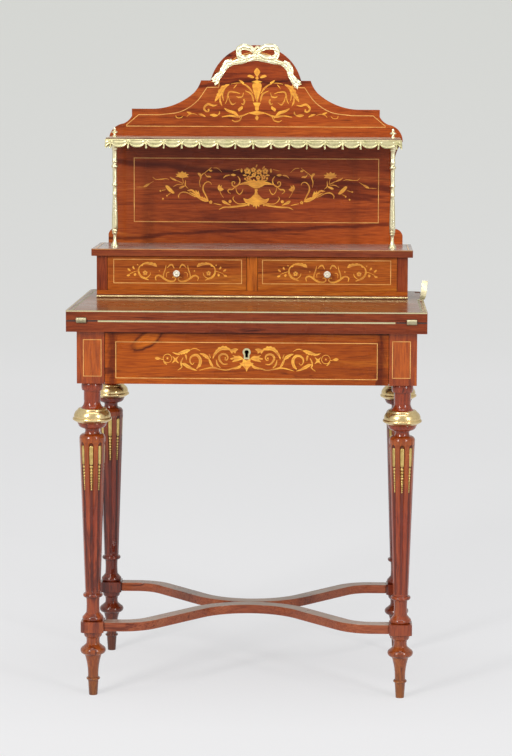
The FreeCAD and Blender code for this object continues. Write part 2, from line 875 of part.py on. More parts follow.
runners = []
for side, word in ((-1, "left"), (1, "right")):
    near = side * (side_inner - s.guide_clearance)
    far = side * apron_inner
    guide = side * (box_half + s.guide_clearance)
    shelf_x = (far, near) if side < 0 else (near, far)
    guide_x = (far, guide) if side < 0 else (guide, far)
    span_y = (post_front_inner, post_back_inner)
    shelf = box(f"runner_{word}_shelf", shelf_x, span_y, (rail_high - s.runner_height, rail_high))
    wall = box(f"runner_{word}_guide", guide_x, span_y, (rail_high, rail_high + s.guide_height))
    runners.append(fuse(f"runner_{word}", [shelf, wall]))
node(group("runner_pair", runners), "drawer_runners")

keyhole_z = s.leg_height + s.keyhole_height
lock_low = drawer_high - s.lock_drop


def keyhole(name, y, depth):
    """A round keyhole with a slot under it, cut through along Y."""
    hole = rod(name + "_round", s.keyhole_radius, depth, ZERO, y, keyhole_z, "Y")
    slot = box(name + "_slot", (-s.keyhole_slot_width / 2, s.keyhole_slot_width / 2), (y, y + depth),
               (keyhole_z - s.keyhole_slot_length, keyhole_z))
    return fuse(name, [hole, slot])


def escutcheon(name):
    """The outline of the keyhole plate: a disc with a tail under it, in the front's outer face."""
    disc = rod(name + "_disc", s.escutcheon_width / 2, s.escutcheon_thickness,
               ZERO, frame_front, keyhole_z, "Y")
    tail = box(name + "_tail", (-s.escutcheon_tail_width / 2, s.escutcheon_tail_width / 2),
               (frame_front, frame_front + s.escutcheon_thickness),
               (keyhole_z - s.escutcheon_height + s.escutcheon_width / 2, keyhole_z))
    return fuse(name, [disc, tail])


groove_half_length = side_inner + s.drawer_groove_depth
front_block = box("drawer_front_block", (-drawer_half, drawer_half), (frame_front, box_front),
                  (drawer_low, drawer_high))
bottom_groove = box("drawer_front_groove", (-groove_half_length, groove_half_length),
                    (box_front - s.drawer_groove_depth, box_front + s.drawer_gap), (bottom_low, bottom_high))
front_hole = keyhole("front_keyhole", frame_front, s.drawer_front_thickness)
node(cut("drawer_front_cut", front_block, [bottom_groove, escutcheon("plate_recess"), front_hole]),
     "drawer_front")
node(cut("plate_cut", escutcheon("plate"), [keyhole("plate_keyhole", frame_front, s.escutcheon_thickness)]),
     "keyhole_escutcheon")

for side, word in ((-1, "left"), (1, "right")):
    x = (-box_half, -side_inner) if side < 0 else (side_inner, box_half)
    groove_x = (-side_inner - s.drawer_groove_depth, -side_inner)
    if side > 0:
        groove_x = (side_inner, side_inner + s.drawer_groove_depth)
    wall = box(f"drawer_side_{word}_wall", x, (box_front, box_back), (box_low, box_high))
    groove = box(f"drawer_side_{word}_groove", groove_x, (box_front, box_back), (bottom_low, bottom_high))
    node(cut(f"drawer_side_{word}_cut", wall, [groove]), f"drawer_side_{word}")

node(box("drawer_back_board", (-side_inner, side_inner), (box_back - s.drawer_back_thickness, box_back),
         (bottom_high, box_high)), "drawer_back")
node(box("drawer_bottom_board", (-groove_half_length, groove_half_length),
         (box_front - s.drawer_groove_depth, box_back), (bottom_low, bottom_high)), "drawer_bottom")

# lock on the drawer front's inner face, and its bolt, drawn back at rest
bolt_y = box_front + s.lock_thickness / 2 - s.bolt_thickness / 2
bolt_top = drawer_high
bolt_x = (-s.bolt_width / 2, s.bolt_width / 2)
channel_x = (bolt_x[0] - s.bolt_clearance, bolt_x[1] + s.bolt_clearance)
channel_y = (bolt_y - s.bolt_clearance, bolt_y + s.bolt_thickness + s.bolt_clearance)
lock_block = box("lock_block", (-s.lock_width / 2, s.lock_width / 2),
                 (box_front, box_front + s.lock_thickness), (lock_low, drawer_high))
lock_channel = box("lock_channel", channel_x, channel_y,
                   (bolt_top - s.bolt_length - s.bolt_clearance, drawer_high))
lock_hole = rod("lock_keyhole", s.keyhole_radius, bolt_y - box_front, ZERO, box_front, keyhole_z, "Y")
node(cut("lock_case_cut", lock_block, [lock_channel, lock_hole]), "lock_case")
bolt_bar = box("bolt_bar", bolt_x, (bolt_y, bolt_y + s.bolt_thickness), (bolt_top - s.bolt_length, bolt_top))
node(bolt_bar, "lock_bolt")

# ---------------------------------------------------------------- hinges of the leaf

axis_y = front - s.hinge_axis_offset
axis_z = board_high + s.leaf_gap / 2
hinge_half = s.hinge_centre_knuckle / 2 + s.hinge_side_clearance + s.hinge_outer_knuckle
centre_half = s.hinge_centre_knuckle / 2
slot_half = centre_half + s.hinge_side_clearance
plate_back = front + s.hinge_plate_length
hinge_places = (("left", -half_width + s.hinge_inset), ("right", half_width - s.hinge_inset))
HINGE_SCREWS = 2


def barrel(name, radius, x, low, high):
    """A round piece on the hinge axis between two offsets from the hinge's middle."""
    return rod(name, radius, high - low, x + low, axis_y, axis_z, "X")


def screw_places(word, x):
    """Where a plate's screws stand, from its inner end."""
    for number in range(HINGE_SCREWS):
        yield f"{word}_{number}", x, plate_back - s.screw_end_margin - number * s.screw_pitch


def screw(name, x, y, face, down, clearance=ZERO):
    """A countersunk screw whose head is level with a face; it points down, or up."""
    head_height = s.screw_head_height
    thin = s.screw_shank_radius + clearance
    wide = s.screw_head_radius + clearance
    length = s.screw_length + clearance - head_height
    if down:
        head = cone(name + "_head", thin, wide, head_height, x, y, face - head_height)
        shank = rod(name + "_shank", thin, length, x, y, face - head_height - length)
    else:
        head = cone(name + "_head", wide, thin, head_height, x, y, face)
        shank = rod(name + "_shank", thin, length, x, y, face + head_height)
    return fuse(name, [head, shank])


def mortise(name, x, z):
    """The recess that a hinge plate lies in."""
    room = s.hinge_mortise_clearance
    return box(name, (x - hinge_half - room, x + hinge_half + room),
               (front - s.hinge_barrel_radius, plate_back + room), z)


table_plates, leaf_plates, pins, table_screws, leaf_screws = [], [], [], [], []
board_tools, leaf_tools = [], []
table_z = (board_high - s.hinge_plate_thickness, board_high)
leaf_z = (leaf_low, leaf_low + s.hinge_plate_thickness)
bore_radius = s.hinge_pin_radius + s.hinge_running_clearance
clear_radius = s.hinge_barrel_radius + s.hinge_side_clearance
groove_radius = s.hinge_barrel_radius + s.hinge_barrel_clearance
groove_half = hinge_half + s.hinge_barrel_clearance

for word, x in hinge_places:
    plate_x = (x - hinge_half, x + hinge_half)
    bore = barrel(f"table_bore_{word}", bore_radius, x, -groove_half, groove_half)
    flat = box(f"table_flat_{word}", plate_x, (axis_y, plate_back), table_z)
    knuckles = [
        barrel(f"table_knuckle_a_{word}", s.hinge_barrel_radius, x, -hinge_half, -slot_half),
        barrel(f"table_knuckle_b_{word}", s.hinge_barrel_radius, x, slot_half, hinge_half),
    ]
    gap = barrel(f"table_gap_{word}", clear_radius, x, -slot_half, slot_half)
    holes = [screw(f"table_hole_{tag}", hole_x, y, board_high, True, s.screw_clearance)
             for tag, hole_x, y in screw_places(word, x)]
    table_blank = fuse(f"table_blank_{word}", [flat] + knuckles)
    table_plates.append(cut(f"table_plate_{word}", table_blank, [bore, gap] + holes))

    leaf_bore = barrel(f"leaf_bore_{word}", bore_radius, x, -groove_half, groove_half)
    leaf_flat = box(f"leaf_flat_{word}", plate_x, (axis_y, plate_back), leaf_z)
    centre = barrel(f"leaf_knuckle_{word}", s.hinge_barrel_radius, x, -centre_half, centre_half)
    gaps = [
        barrel(f"leaf_gap_a_{word}", clear_radius, x, -groove_half, -centre_half),
        barrel(f"leaf_gap_b_{word}", clear_radius, x, centre_half, groove_half),
    ]
    leaf_holes = [screw(f"leaf_hole_{tag}", hole_x, y, leaf_low, False, s.screw_clearance)
                  for tag, hole_x, y in screw_places(word, x)]
    leaf_blank = fuse(f"leaf_blank_{word}", [leaf_flat, centre])
    leaf_plates.append(cut(f"leaf_plate_{word}", leaf_blank, [leaf_bore] + gaps + leaf_holes))

    pins.append(barrel(f"pin_{word}", s.hinge_pin_radius, x, -hinge_half, hinge_half))
    for tag, hole_x, y in screw_places(word, x):
        table_screws.append(screw(f"table_screw_{tag}", hole_x, y, board_high, True))
        leaf_screws.append(screw(f"leaf_screw_{tag}", hole_x, y, leaf_low, False))
        board_tools.append(screw(f"board_pilot_{tag}", hole_x, y, board_high, True, s.screw_clearance))
        leaf_tools.append(screw(f"wood_pilot_{tag}", hole_x, y, leaf_low, False, s.screw_clearance))
    board_tools.append(mortise(f"board_mortise_{word}", x, table_z))
    leaf_tools.append(mortise(f"leaf_mortise_{word}", x, leaf_z))
    board_tools.append(barrel(f"board_groove_{word}", groove_radius, x, -groove_half, groove_half))
    leaf_tools.append(barrel(f"leaf_groove_{word}", groove_radius, x, -groove_half, groove_half))

node(group("table_plate_pair", table_plates), "hinge_table_plates")
node(group("leaf_plate_pair", leaf_plates), "hinge_leaf_plates")
node(group("pin_pair", pins), "hinge_pins")
node(group("table_screw_set", table_screws), "hinge_table_screws")
node(group("leaf_screw_set", leaf_screws), "hinge_leaf_screws")

# ---------------------------------------------------------------- table board, leaf, deck

leather_x = (-half_width + s.leather_side_margin, half_width - s.leather_side_margin)
leather_y = (front + s.leather_end_margin, leaf_back - s.leather_end_margin)
fillet_x = (-half_width + s.fillet_end_inset, half_width - s.fillet_end_inset)
fillet_y = (front, front + s.fillet_depth)
fillet_z = (board_high - s.fillet_height, board_high)

board_leather_z = (board_high - s.leather_thickness, board_high)
leaf_leather_z = (leaf_low, leaf_low + s.leather_thickness)
board_tools.append(box("board_leather_bed", leather_x, leather_y, board_leather_z))
board_tools.append(box("board_fillet_rebate", fillet_x, fillet_y, fillet_z))
board_tools.append(box("board_bolt_mortise", channel_x, channel_y,
                       (board_low, board_low + s.bolt_throw + s.drawer_gap)))
board_blank = box("board_blank", (-half_width, half_width), (front, back), (board_low, board_high))
node(cut("board_cut", board_blank, board_tools), "tabletop")
node(box("board_leather", leather_x, leather_y, board_leather_z), "tabletop_leather")
node(box("board_fillet", fillet_x, fillet_y, fillet_z), "tabletop_brass_fillet")


def banding(name, y, z_high, sides=(-1, 1)):
    """Blocks of a brass band: broad along the sides, a narrow line along front and back."""
    edge = half_width - s.banding_edge_margin
    inner = edge - s.banding_width
    z = (z_high - s.banding_thickness, z_high)
    near = y[0] + s.banding_edge_margin
    far = y[1] - s.banding_edge_margin
    blocks = [
        box(name + "_front_line", (-edge, edge), (near, near + s.banding_line_width), z),
        box(name + "_back_line", (-edge, edge), (far - s.banding_line_width, far), z),
    ]
    for side in sides:
        x = (-edge, -inner) if side < 0 else (inner, edge)
        blocks.append(box(f"{name}_side_{side + 1}", x, (near, far), z))
    return blocks


leaf_tools.append(box("leaf_leather_bed", leather_x, leather_y, leaf_leather_z))
leaf_tools += banding("leaf_rebate", (front, leaf_back), leaf_high)
leaf_blank = box("leaf_blank", (-half_width, half_width), (front, leaf_back), (leaf_low, leaf_high))
node(cut("leaf_cut", leaf_blank, leaf_tools), "writing_leaf")
node(box("leaf_leather_sheet", leather_x, leather_y, leaf_leather_z), "leaf_leather")
node(fuse("leaf_band", banding("leaf_banding", (front, leaf_back), leaf_high)), "leaf_brass_banding")

# the deck's rear corners are rounded, and its right-hand groove is empty where the band has come away
deck = new_body("deck_body", z=board_high)
corner = s.deck_corner_radius
pad(deck, "deck_board", "XY_Plane", [
    (-half_width, deck_front),
    (half_width, deck_front),
    (half_width, back - corner),
    (half_width - corner, back, corner),
    (-half_width + corner, back),
    (-half_width, back - corner, corner),
], leaf_high - board_high)
deck_band_y = (deck_front, back - corner)
node(cut("deck_cut", deck, banding("deck_rebate", deck_band_y, leaf_high)), "rear_deck")
deck_inner = half_width - s.banding_edge_margin - s.banding_width
deck_band = banding("deck_banding", deck_band_y, leaf_high, sides=(-1,))
groove_end = box("deck_band_end", (deck_inner, half_width), deck_band_y,
                 (leaf_high - s.banding_thickness, leaf_high))
node(cut("deck_band_cut", fuse("deck_band", deck_band), [groove_end]), "deck_brass_banding")

# the loose band: a flat root that has come out of the groove, a bend, and an end that stands up
loose_x = deck_inner + s.banding_width / 2
loose = new_body("loose_body", loose_x, deck_front + s.banding_edge_margin, leaf_high)
loose_sine = named("loose_sine", sine(s.loose_bend_angle))
loose_cosine = named("loose_cosine", cosine(s.loose_bend_angle))
thick = s.banding_thickness
inner_radius = s.loose_bend_radius - thick
bend_y = named("loose_bend_y", s.loose_root_length + s.loose_bend_radius * loose_sine)
bend_z = named("loose_bend_z", s.loose_bend_radius - s.loose_bend_radius * loose_cosine)
tip_y = named("loose_tip_y", bend_y + s.loose_tip_length * loose_cosine)
tip_z = named("loose_tip_z", bend_z + s.loose_tip_length * loose_sine)
pad(loose, "loose_strip", "YZ_Plane", [
    (ZERO, ZERO),
    (s.loose_root_length, ZERO),
    (bend_y, bend_z, s.loose_bend_radius),
    (tip_y, tip_z),
    (tip_y - thick * loose_sine, tip_z + thick * loose_cosine),
    (bend_y - thick * loose_sine, bend_z + thick * loose_cosine),
    (s.loose_root_length, thick, -inner_radius),
    (ZERO, thick),
], s.banding_width)
loose.Tip.Midplane = True
loose.Placement.Rotation = FreeCAD.Rotation(FreeCAD.Vector(0, 0, 1), 0)
bind(loose, "Placement.Rotation.Angle", -s.loose_yaw)
node(loose, "loose_brass_strip")

# ---------------------------------------------------------------- stretcher

# In plan each rail runs straight out of its block, bends inward, crosses to the middle and bends back.
rail_start = named("rail_start", leg_x - s.block_width / 2)
rail_run = named("rail_run", rail_start - s.stretcher_straight)
rail_centre_y = named("rail_centre_y", (s.stretcher_width + s.stretcher_joint_gap) / 2)
rail_shift = named("rail_shift", leg_y - rail_centre_y)
rail_angle = named("rail_angle", s.stretcher_bend_share * 2 * arctangent(rail_shift / rail_run))
rail_sine = named("rail_sine", sine(rail_angle))
rail_cosine = named("rail_cosine", cosine(rail_angle))
rail_crossing = named("rail_crossing", rail_shift * rail_sine / (1 - rail_cosine) - rail_run)
rail_bends = named("rail_bends", (rail_shift - rail_crossing * rail_sine) / (1 - rail_cosine))
outer_bend = named("outer_bend", rail_bends * s.stretcher_outer_share)
inner_bend = named("inner_bend", rail_bends - outer_bend)


def rail_edge(offset):
    """One long edge of the right half of a rail, at an offset from its middle line."""
    first = (rail_run - outer_bend * rail_sine, leg_y - outer_bend * (1 - rail_cosine))
    second = (inner_bend * rail_sine, rail_centre_y + inner_bend * (1 - rail_cosine))
    across = (offset * rail_sine, offset * rail_cosine)
    return [
        (rail_start, leg_y + offset),
        (rail_run, leg_y + offset),
        (first[0] - across[0], first[1] + across[1]),
        (second[0] - across[0], second[1] + across[1]),
        (ZERO, rail_centre_y + offset),
    ]


def stretcher(label, side):
    """One serpentine rail; side is -1 for the front one and 1 for the rear one."""
    half = s.stretcher_width / 2
    body = new_body(label + "_body", z=block_low + (s.block_height - s.stretcher_height) / 2)
    far = rail_edge(half)
    near = rail_edge(-half)
    far_bend, far_dip = outer_bend + half, inner_bend - half
    near_bend, near_dip = outer_bend - half, inner_bend + half
    walk = [
        far[0],
        far[1],
        far[2] + (far_bend,),
        far[3],
        far[4] + (-far_dip,),
        flipped(far[3]) + (-far_dip,),
        flipped(far[2]),
        flipped(far[1]) + (far_bend,),
        flipped(far[0]),
        flipped(near[0]),
        flipped(near[1]),
        flipped(near[2]) + (-near_bend,),
        flipped(near[3]),
        near[4] + (near_dip,),
        near[3] + (near_dip,),
        near[2],
        near[1] + (-near_bend,),
        near[0],
    ]
    if side < 0:
        walk = reversed_walk([(point[0], -point[1]) + point[2:] for point in walk])
    pad(body, label + "_rail", "XY_Plane", walk, s.stretcher_height)
    return node(body, label)


def flipped(point):
    """The same point on the left."""
    return (-point[0], point[1])


def reversed_walk(points):
    """The same outline walked the other way; each arc keeps its radius."""
    count = len(points)
    turned_back = []
    for number in range(count - 1, -1, -1):
        after = points[(number + 1) % count]
        turned_back.append(points[number][:2] + after[2:])
    return turned_back


stretcher("stretcher_front", -1)
stretcher("stretcher_rear", 1)

# ---------------------------------------------------------------- case of the superstructure

case_y = (case_front, panel_front)
case_z = (case_floor, case_ceiling)
case_inner = case_half - s.case_side_thickness
node(box("case_bottom_board", (-case_half, case_half), case_y, (leaf_high, case_floor)), "case_bottom")
node(box("case_left_board", (-case_half, -case_inner), case_y, case_z), "case_side_left")
node(box("case_right_board", (case_inner, case_half), case_y, case_z), "case_side_right")
half_divider = s.case_divider_thickness / 2
node(box("case_divider_board", (-half_divider, half_divider), case_y, case_z), "case_divider")

rope = new_body("rope_body", z=leaf_high)
half_rope = s.rope_height / 2
pad(rope, "rope_bar", "YZ_Plane", [
    (case_front - s.rope_depth + half_rope, ZERO, s.rope_corner_radius),
    (case_front, ZERO),
    (case_front, s.rope_height),
    (case_front - s.rope_depth + half_rope, s.rope_height),
    (case_front - s.rope_depth, half_rope, s.rope_corner_radius),
], case_half * 2)
rope.Tip.Midplane = True
node(rope, "rope_moulding")


def line_frame(name, margin, width):
    """A rectangular line let into the case top, set in from its edges."""
    outer_x, outer_y = case_top_half - margin, (case_top_front + margin, panel_front - margin)
    z = (case_top_high - s.case_top_line_thickness, case_top_high)
    inner_x = outer_x - width
    outer = box(name + "_outer", (-outer_x, outer_x), outer_y, z)
    inner = box(name + "_inner", (-inner_x, inner_x), (outer_y[0] + width, outer_y[1] - width), z)
    return cut(name, outer, [inner])


case_top_blank = box("case_top_blank", (-case_top_half, case_top_half), (case_top_front, panel_front),
                     (case_ceiling, case_top_high))
node(cut("case_top_cut", case_top_blank,
         [line_frame("case_top_groove", s.case_top_line_margin, s.case_top_line_width)]), "case_top")
node(line_frame("case_top_line", s.case_top_line_margin, s.case_top_line_width), "case_top_stringing")

# ---------------------------------------------------------------- small drawers

def small_drawer(word, x_low, x_high):
    """Front, box, bottom and knob of one drawer between two case walls."""
    centre = (x_low + x_high) / 2
    z_low = case_floor + s.small_seat_gap
    front_x = (x_low + s.small_gap, x_high - s.small_gap)
    inner_front = case_front + s.small_front_thickness
    rear = panel_front - s.small_rear_room
    z_middle = (case_floor + case_ceiling) / 2
    blank = box(f"{word}_front_blank", front_x, (case_front, inner_front),
                (z_low, case_ceiling - s.small_gap))
    shank_hole = rod(f"{word}_knob_hole", s.knob_shank_radius + s.knob_clearance, s.small_front_thickness,
                     centre, case_front, z_middle, "Y")
    node(cut(f"{word}_front_cut", blank, [shank_hole]), f"{word}_drawer_front")

    room = s.small_side_clearance
    outer = (x_low + room, x_high - room)
    inner = (outer[0] + s.small_side_thickness, outer[1] - s.small_side_thickness)
    walls = box(f"{word}_walls", outer, (inner_front, rear), (z_low, z_low + s.small_box_height))
    hollow = box(f"{word}_hollow", inner, (inner_front, rear - s.small_side_thickness),
                 (z_low, z_low + s.small_box_height))
    node(cut(f"{word}_box_cut", walls, [hollow]), f"{word}_drawer_box")
    node(box(f"{word}_bottom_board", inner, (inner_front, rear - s.small_side_thickness),
             (z_low, z_low + s.small_bottom_thickness)), f"{word}_drawer_bottom")

    knob = new_body(f"{word}_knob_body")
    base_radius = s.knob_base_diameter / 2
    neck_radius = s.knob_neck_diameter / 2
    head_radius = s.knob_diameter / 2
    cap_radius = (head_radius * head_radius + s.knob_cap_height * s.knob_cap_height) / (s.knob_cap_height * 2)
    turned(knob, f"{word}_knob_turned", [
        (ZERO, -s.small_front_thickness),
        (s.knob_shank_radius, -s.small_front_thickness),
        (s.knob_shank_radius, ZERO),
        (base_radius, ZERO),
        (base_radius, s.knob_lip_length),
        (neck_radius, s.knob_lip_length + s.knob_neck_length, -s.knob_neck_hollow),
        (head_radius, s.knob_length - s.knob_cap_height, s.knob_head_radius),
        (ZERO, s.knob_length, cap_radius),
    ])
    knob.Placement.Rotation = FreeCAD.Rotation(FreeCAD.Vector(1, 0, 0), 90)
    place(knob, centre, case_front, z_middle)
    node(knob, f"{word}_drawer_knob")


small_drawer("left", -case_inner, -half_divider)
small_drawer("right", half_divider, case_inner)

# ---------------------------------------------------------------- back panel with its crest

foot_high = case_top_high + s.panel_foot_height
panel_half = case_half - s.panel_side_inset
waist_half = panel_half - s.panel_waist_inset
shoulder_half = panel_half - s.shoulder_inset
shoulder_high = case_top_high + s.shoulder_high_rise
lobe_radius = s.lobe_top_rise - s.lobe_rise
arch_base = named("arch_base", case_top_high + s.crest_step_rise)
right_side = [
    (panel_half, leaf_high),
    (panel_half, foot_high),
    (waist_half, foot_high + s.panel_foot_shoulder, s.panel_foot_height),
    (waist_half, case_top_high + s.panel_waist_rise),
    (panel_half - s.lobe_inset, case_top_high + s.lobe_rise, -s.panel_waist_radius),
    (panel_half - s.lobe_top_inset, case_top_high + s.lobe_top_rise, lobe_radius),
    (shoulder_half, case_top_high + s.shoulder_low_rise, -lobe_radius),
    (shoulder_half, shoulder_high),
    (panel_half - s.shoulder_inner_inset, shoulder_high),
    (s.crest_knee_half_width, case_top_high + s.crest_knee_rise, -s.crest_scoop_radius),
    (s.crest_step_half_width, arch_base, -s.crest_step_scoop_radius),
    (s.arch_half_width, arch_base),
]


def mirror_outline(points, crown):
    """Right half, a crown point on the axis, and the left half, anticlockwise."""
    left = [flipped(points[-1]) + crown[2:]]
    for number in range(len(points) - 2, -1, -1):
        left.append(flipped(points[number]) + points[number + 1][2:])
    return points + [crown] + left


arch_rise = s.arch_radius - root(s.arch_radius * s.arch_radius - s.arch_half_width * s.arch_half_width)
arch_centre = named("arch_centre", arch_base + arch_rise - s.arch_radius)
crown = (ZERO, arch_centre + s.arch_radius, s.arch_radius)

panel = new_body("panel_body", y=panel_back)
pad(panel, "panel_board", "XZ_Plane", mirror_outline(right_side, crown), s.panel_thickness)
node(panel, "back_panel")

# ---------------------------------------------------------------- shelf, gallery, columns

shelf_front = panel_front - s.shelf_depth
shelf_half = case_half - s.shelf_inset
shelf_high = named("shelf_high", case_top_high + s.shelf_rise)
shelf_low = shelf_high - s.shelf_thickness
column_x = case_half - s.column_inset
column_y = shelf_front + s.column_setback
stem_radius = s.column_stem_diameter / 2
shelf_blank = box("shelf_blank", (-shelf_half, shelf_half), (shelf_front, panel_front),
                  (shelf_low, shelf_high))
stem_holes = [rod(f"shelf_hole_{side + 1}", stem_radius + s.column_stem_clearance, s.shelf_thickness,
                  side * column_x, column_y, shelf_low) for side in (-1, 1)]
node(cut("shelf_cut", shelf_blank, stem_holes), "shelf")

SWAGS = 16
gallery_half = shelf_half + s.gallery_thickness
gallery_pitch = named("gallery_pitch", (shelf_half - s.gallery_end_margin) * 2 / SWAGS)
swag_edge = named("swag_edge", shelf_high - s.gallery_band_height)
first_tassel = named("first_tassel", s.gallery_end_margin - shelf_half)


def repeat_along(body, name, feature, pitch, count):
    """Repeat a feature along X at a pitch."""
    pattern = body.newObject("PartDesign::LinearPattern", name)
    pattern.Originals = [feature]
    pattern.Direction = (origin_plane(body, "X_Axis"), [""])
    pattern.Occurrences = count
    bind(pattern, "Length", pitch * (count - 1))
    body.Tip = pattern


gallery = new_body("gallery_body", y=shelf_front)
pad(gallery, "gallery_band", "XZ_Plane", [
    (-gallery_half, swag_edge),
    (gallery_half, swag_edge),
    (gallery_half, shelf_high),
    (-gallery_half, shelf_high),
], s.gallery_thickness)
half_tassel = s.gallery_tassel_width / 2
tassel_low = swag_edge - s.gallery_tassel_drop
tassel = pad(gallery, "tassel", "XZ_Plane", [
    (first_tassel - half_tassel, tassel_low),
    (first_tassel + half_tassel, tassel_low),
    (first_tassel + half_tassel / 2, swag_edge),
    (first_tassel - half_tassel / 2, swag_edge),
], s.gallery_thickness)
repeat_along(gallery, "tassels", tassel, gallery_pitch, SWAGS + 1)
swag_middle = first_tassel + gallery_pitch / 2
half_swag = (gallery_pitch - s.gallery_swag_gap) / 2
sag = s.gallery_swag_sag
swag_radius = (half_swag * half_swag + sag * sag) / (sag * 2)
swag = pad(gallery, "swag", "XZ_Plane", [
    (swag_middle - half_swag, swag_edge),
    (swag_middle + half_swag, swag_edge, swag_radius),
], s.gallery_thickness)
repeat_along(gallery, "swags", swag, gallery_pitch, SWAGS)
end_y = (shelf_front - s.gallery_thickness, panel_front)
end_z = (swag_edge, shelf_high)
gallery_ends = [
    box("gallery_end_left", (-gallery_half, -shelf_half), end_y, end_z),
    box("gallery_end_right", (shelf_half, gallery_half), end_y, end_z),
]
node(fuse("gallery_whole", [gallery] + gallery_ends), "gallery")


def column_turnings():
    """Radii and lengths of a column from the case top to its finial's tip."""
    ring = s.column_ring_height
    fixed = (s.column_base_height + s.column_foot_neck_height + s.column_lower_shaft_height
             + s.column_baluster_height + ring * 3)
    upper = shelf_low - case_top_high - fixed
    return [
        (s.column_base_height, s.column_base_diameter / 2, s.column_base_diameter / 2, s.column_base_swell),
        (s.column_foot_neck_height, s.column_foot_neck_diameter / 2, s.column_foot_neck_diameter / 2,
         -s.column_neck_hollow),
        (ring, s.column_low_ring_diameter / 2, s.column_low_ring_diameter / 2, s.ring_swell),
        (s.column_lower_shaft_height, s.column_lower_shaft_low_diameter / 2,
         s.column_lower_shaft_high_diameter / 2),
        (ring, s.column_middle_ring_diameter / 2, s.column_middle_ring_diameter / 2, s.ring_swell),
        (s.column_baluster_height, s.column_baluster_diameter / 2, s.column_baluster_diameter / 2,
         s.column_baluster_swell),
        (ring, s.column_high_ring_diameter / 2, s.column_high_ring_diameter / 2, s.ring_swell),
        (upper, s.column_upper_shaft_diameter / 2, s.column_upper_shaft_diameter / 2),
        (s.shelf_thickness, stem_radius, stem_radius),
        (s.finial_disc_height, s.finial_disc_diameter / 2, s.finial_disc_diameter / 2),
        (s.finial_neck_height, s.finial_neck_diameter / 2, s.finial_neck_diameter / 2, -s.finial_neck_hollow),
        (s.finial_bar_height, s.finial_bar_diameter / 2, s.finial_bar_diameter / 2, s.finial_bar_swell),
        (s.finial_ball_height, s.finial_ball_diameter / 2, s.finial_ball_diameter / 4, s.finial_ball_swell),
    ]


for side, word in ((-1, "left"), (1, "right")):
    column = new_body(f"column_{word}_body", side * column_x, column_y)
    turned(column, f"column_{word}_turned", stack(f"column_{word}", column_turnings(), case_top_high))
    node(column, f"column_{word}")

# ---------------------------------------------------------------- ribbon bow on the crest

band_outer = s.arch_radius - s.bow_band_inset
band_inner = band_outer - s.bow_band_width


def band_end(radius):
    """Where a ring of the ribbon reaches its lower end on the right."""
    return (radius * sine(s.bow_reach_angle), arch_centre + radius * cosine(s.bow_reach_angle))


outer_end = band_end(band_outer)
inner_end = band_end(band_inner)
bow = new_body("bow_body", y=panel_front)
pad(bow, "bow_band", "XZ_Plane", [
    (outer_end[0], outer_end[1]),
    (ZERO, arch_centre + band_outer, band_outer),
    (-outer_end[0], outer_end[1], band_outer),
    (-inner_end[0], inner_end[1]),
    (ZERO, arch_centre + band_inner, -band_inner),
    (inner_end[0], inner_end[1], -band_inner),
], s.bow_thickness)
bow_high = crown[1] + s.bow_top_overshoot
bow_low = bow_high - s.bow_loop_height
loops = [bow]
for side, word in ((-1, "left"), (1, "right")):
    centre = side * s.bow_loop_offset
    half_loop = s.bow_loop_width / 2
    border = s.bow_loop_border
    outer_block = box(f"loop_{word}_outer", (centre - half_loop, centre + half_loop),
                      (panel_front - s.bow_thickness, panel_front), (bow_low, bow_high))
    inner_block = box(f"loop_{word}_inner", (centre - half_loop + border, centre + half_loop - border),
                      (panel_front - s.bow_thickness, panel_front), (bow_low + border, bow_high - border))
    loops.append(cut(f"loop_{word}", outer_block, [inner_block]))
node(fuse("bow_whole", loops), "ribbon_bow")

# ---------------------------------------------------------------- checks and export

doc.recompute()
failed = [thing.Name for thing in doc.Objects if {"Invalid", "Error"} & set(thing.State)]
if failed:
    raise RuntimeError("objects failed: " + ", ".join(failed))

os.makedirs("parts", exist_ok=True)
for thing in nodes:
    shape = thing.Shape
    if shape.isNull() or not shape.isValid() or not shape.Solids:
        raise RuntimeError("bad shape: " + thing.Label)
for thing in nodes:
    thing.Shape.exportStep(os.path.join("parts", thing.Label + ".step"))
print(len(nodes), "nodes written")
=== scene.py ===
"""The looks of the bonheur du jour: finishes, marquetry, gilt mounts, camera and light."""
import json
import math

import bmesh
import bpy
from mathutils import Matrix, Vector


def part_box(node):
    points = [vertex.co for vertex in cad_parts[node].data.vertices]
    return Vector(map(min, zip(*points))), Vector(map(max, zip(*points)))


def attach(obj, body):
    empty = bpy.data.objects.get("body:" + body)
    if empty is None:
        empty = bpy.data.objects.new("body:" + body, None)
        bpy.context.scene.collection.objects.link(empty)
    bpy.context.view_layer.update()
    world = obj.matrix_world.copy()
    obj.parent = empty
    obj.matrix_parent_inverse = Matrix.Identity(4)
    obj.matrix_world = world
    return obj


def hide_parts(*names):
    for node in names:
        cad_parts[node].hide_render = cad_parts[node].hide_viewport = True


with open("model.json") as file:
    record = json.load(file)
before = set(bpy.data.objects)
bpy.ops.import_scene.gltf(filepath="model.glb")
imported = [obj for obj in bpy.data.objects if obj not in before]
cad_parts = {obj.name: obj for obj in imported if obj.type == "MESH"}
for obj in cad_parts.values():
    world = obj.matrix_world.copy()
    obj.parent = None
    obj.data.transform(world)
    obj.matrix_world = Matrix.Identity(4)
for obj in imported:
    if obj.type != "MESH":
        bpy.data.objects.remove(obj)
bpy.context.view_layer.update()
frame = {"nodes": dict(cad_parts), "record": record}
nodes = frame["nodes"]
scene = bpy.context.scene
MM = 0.001
SIDES = (-1, 1)


# ---- shader helpers

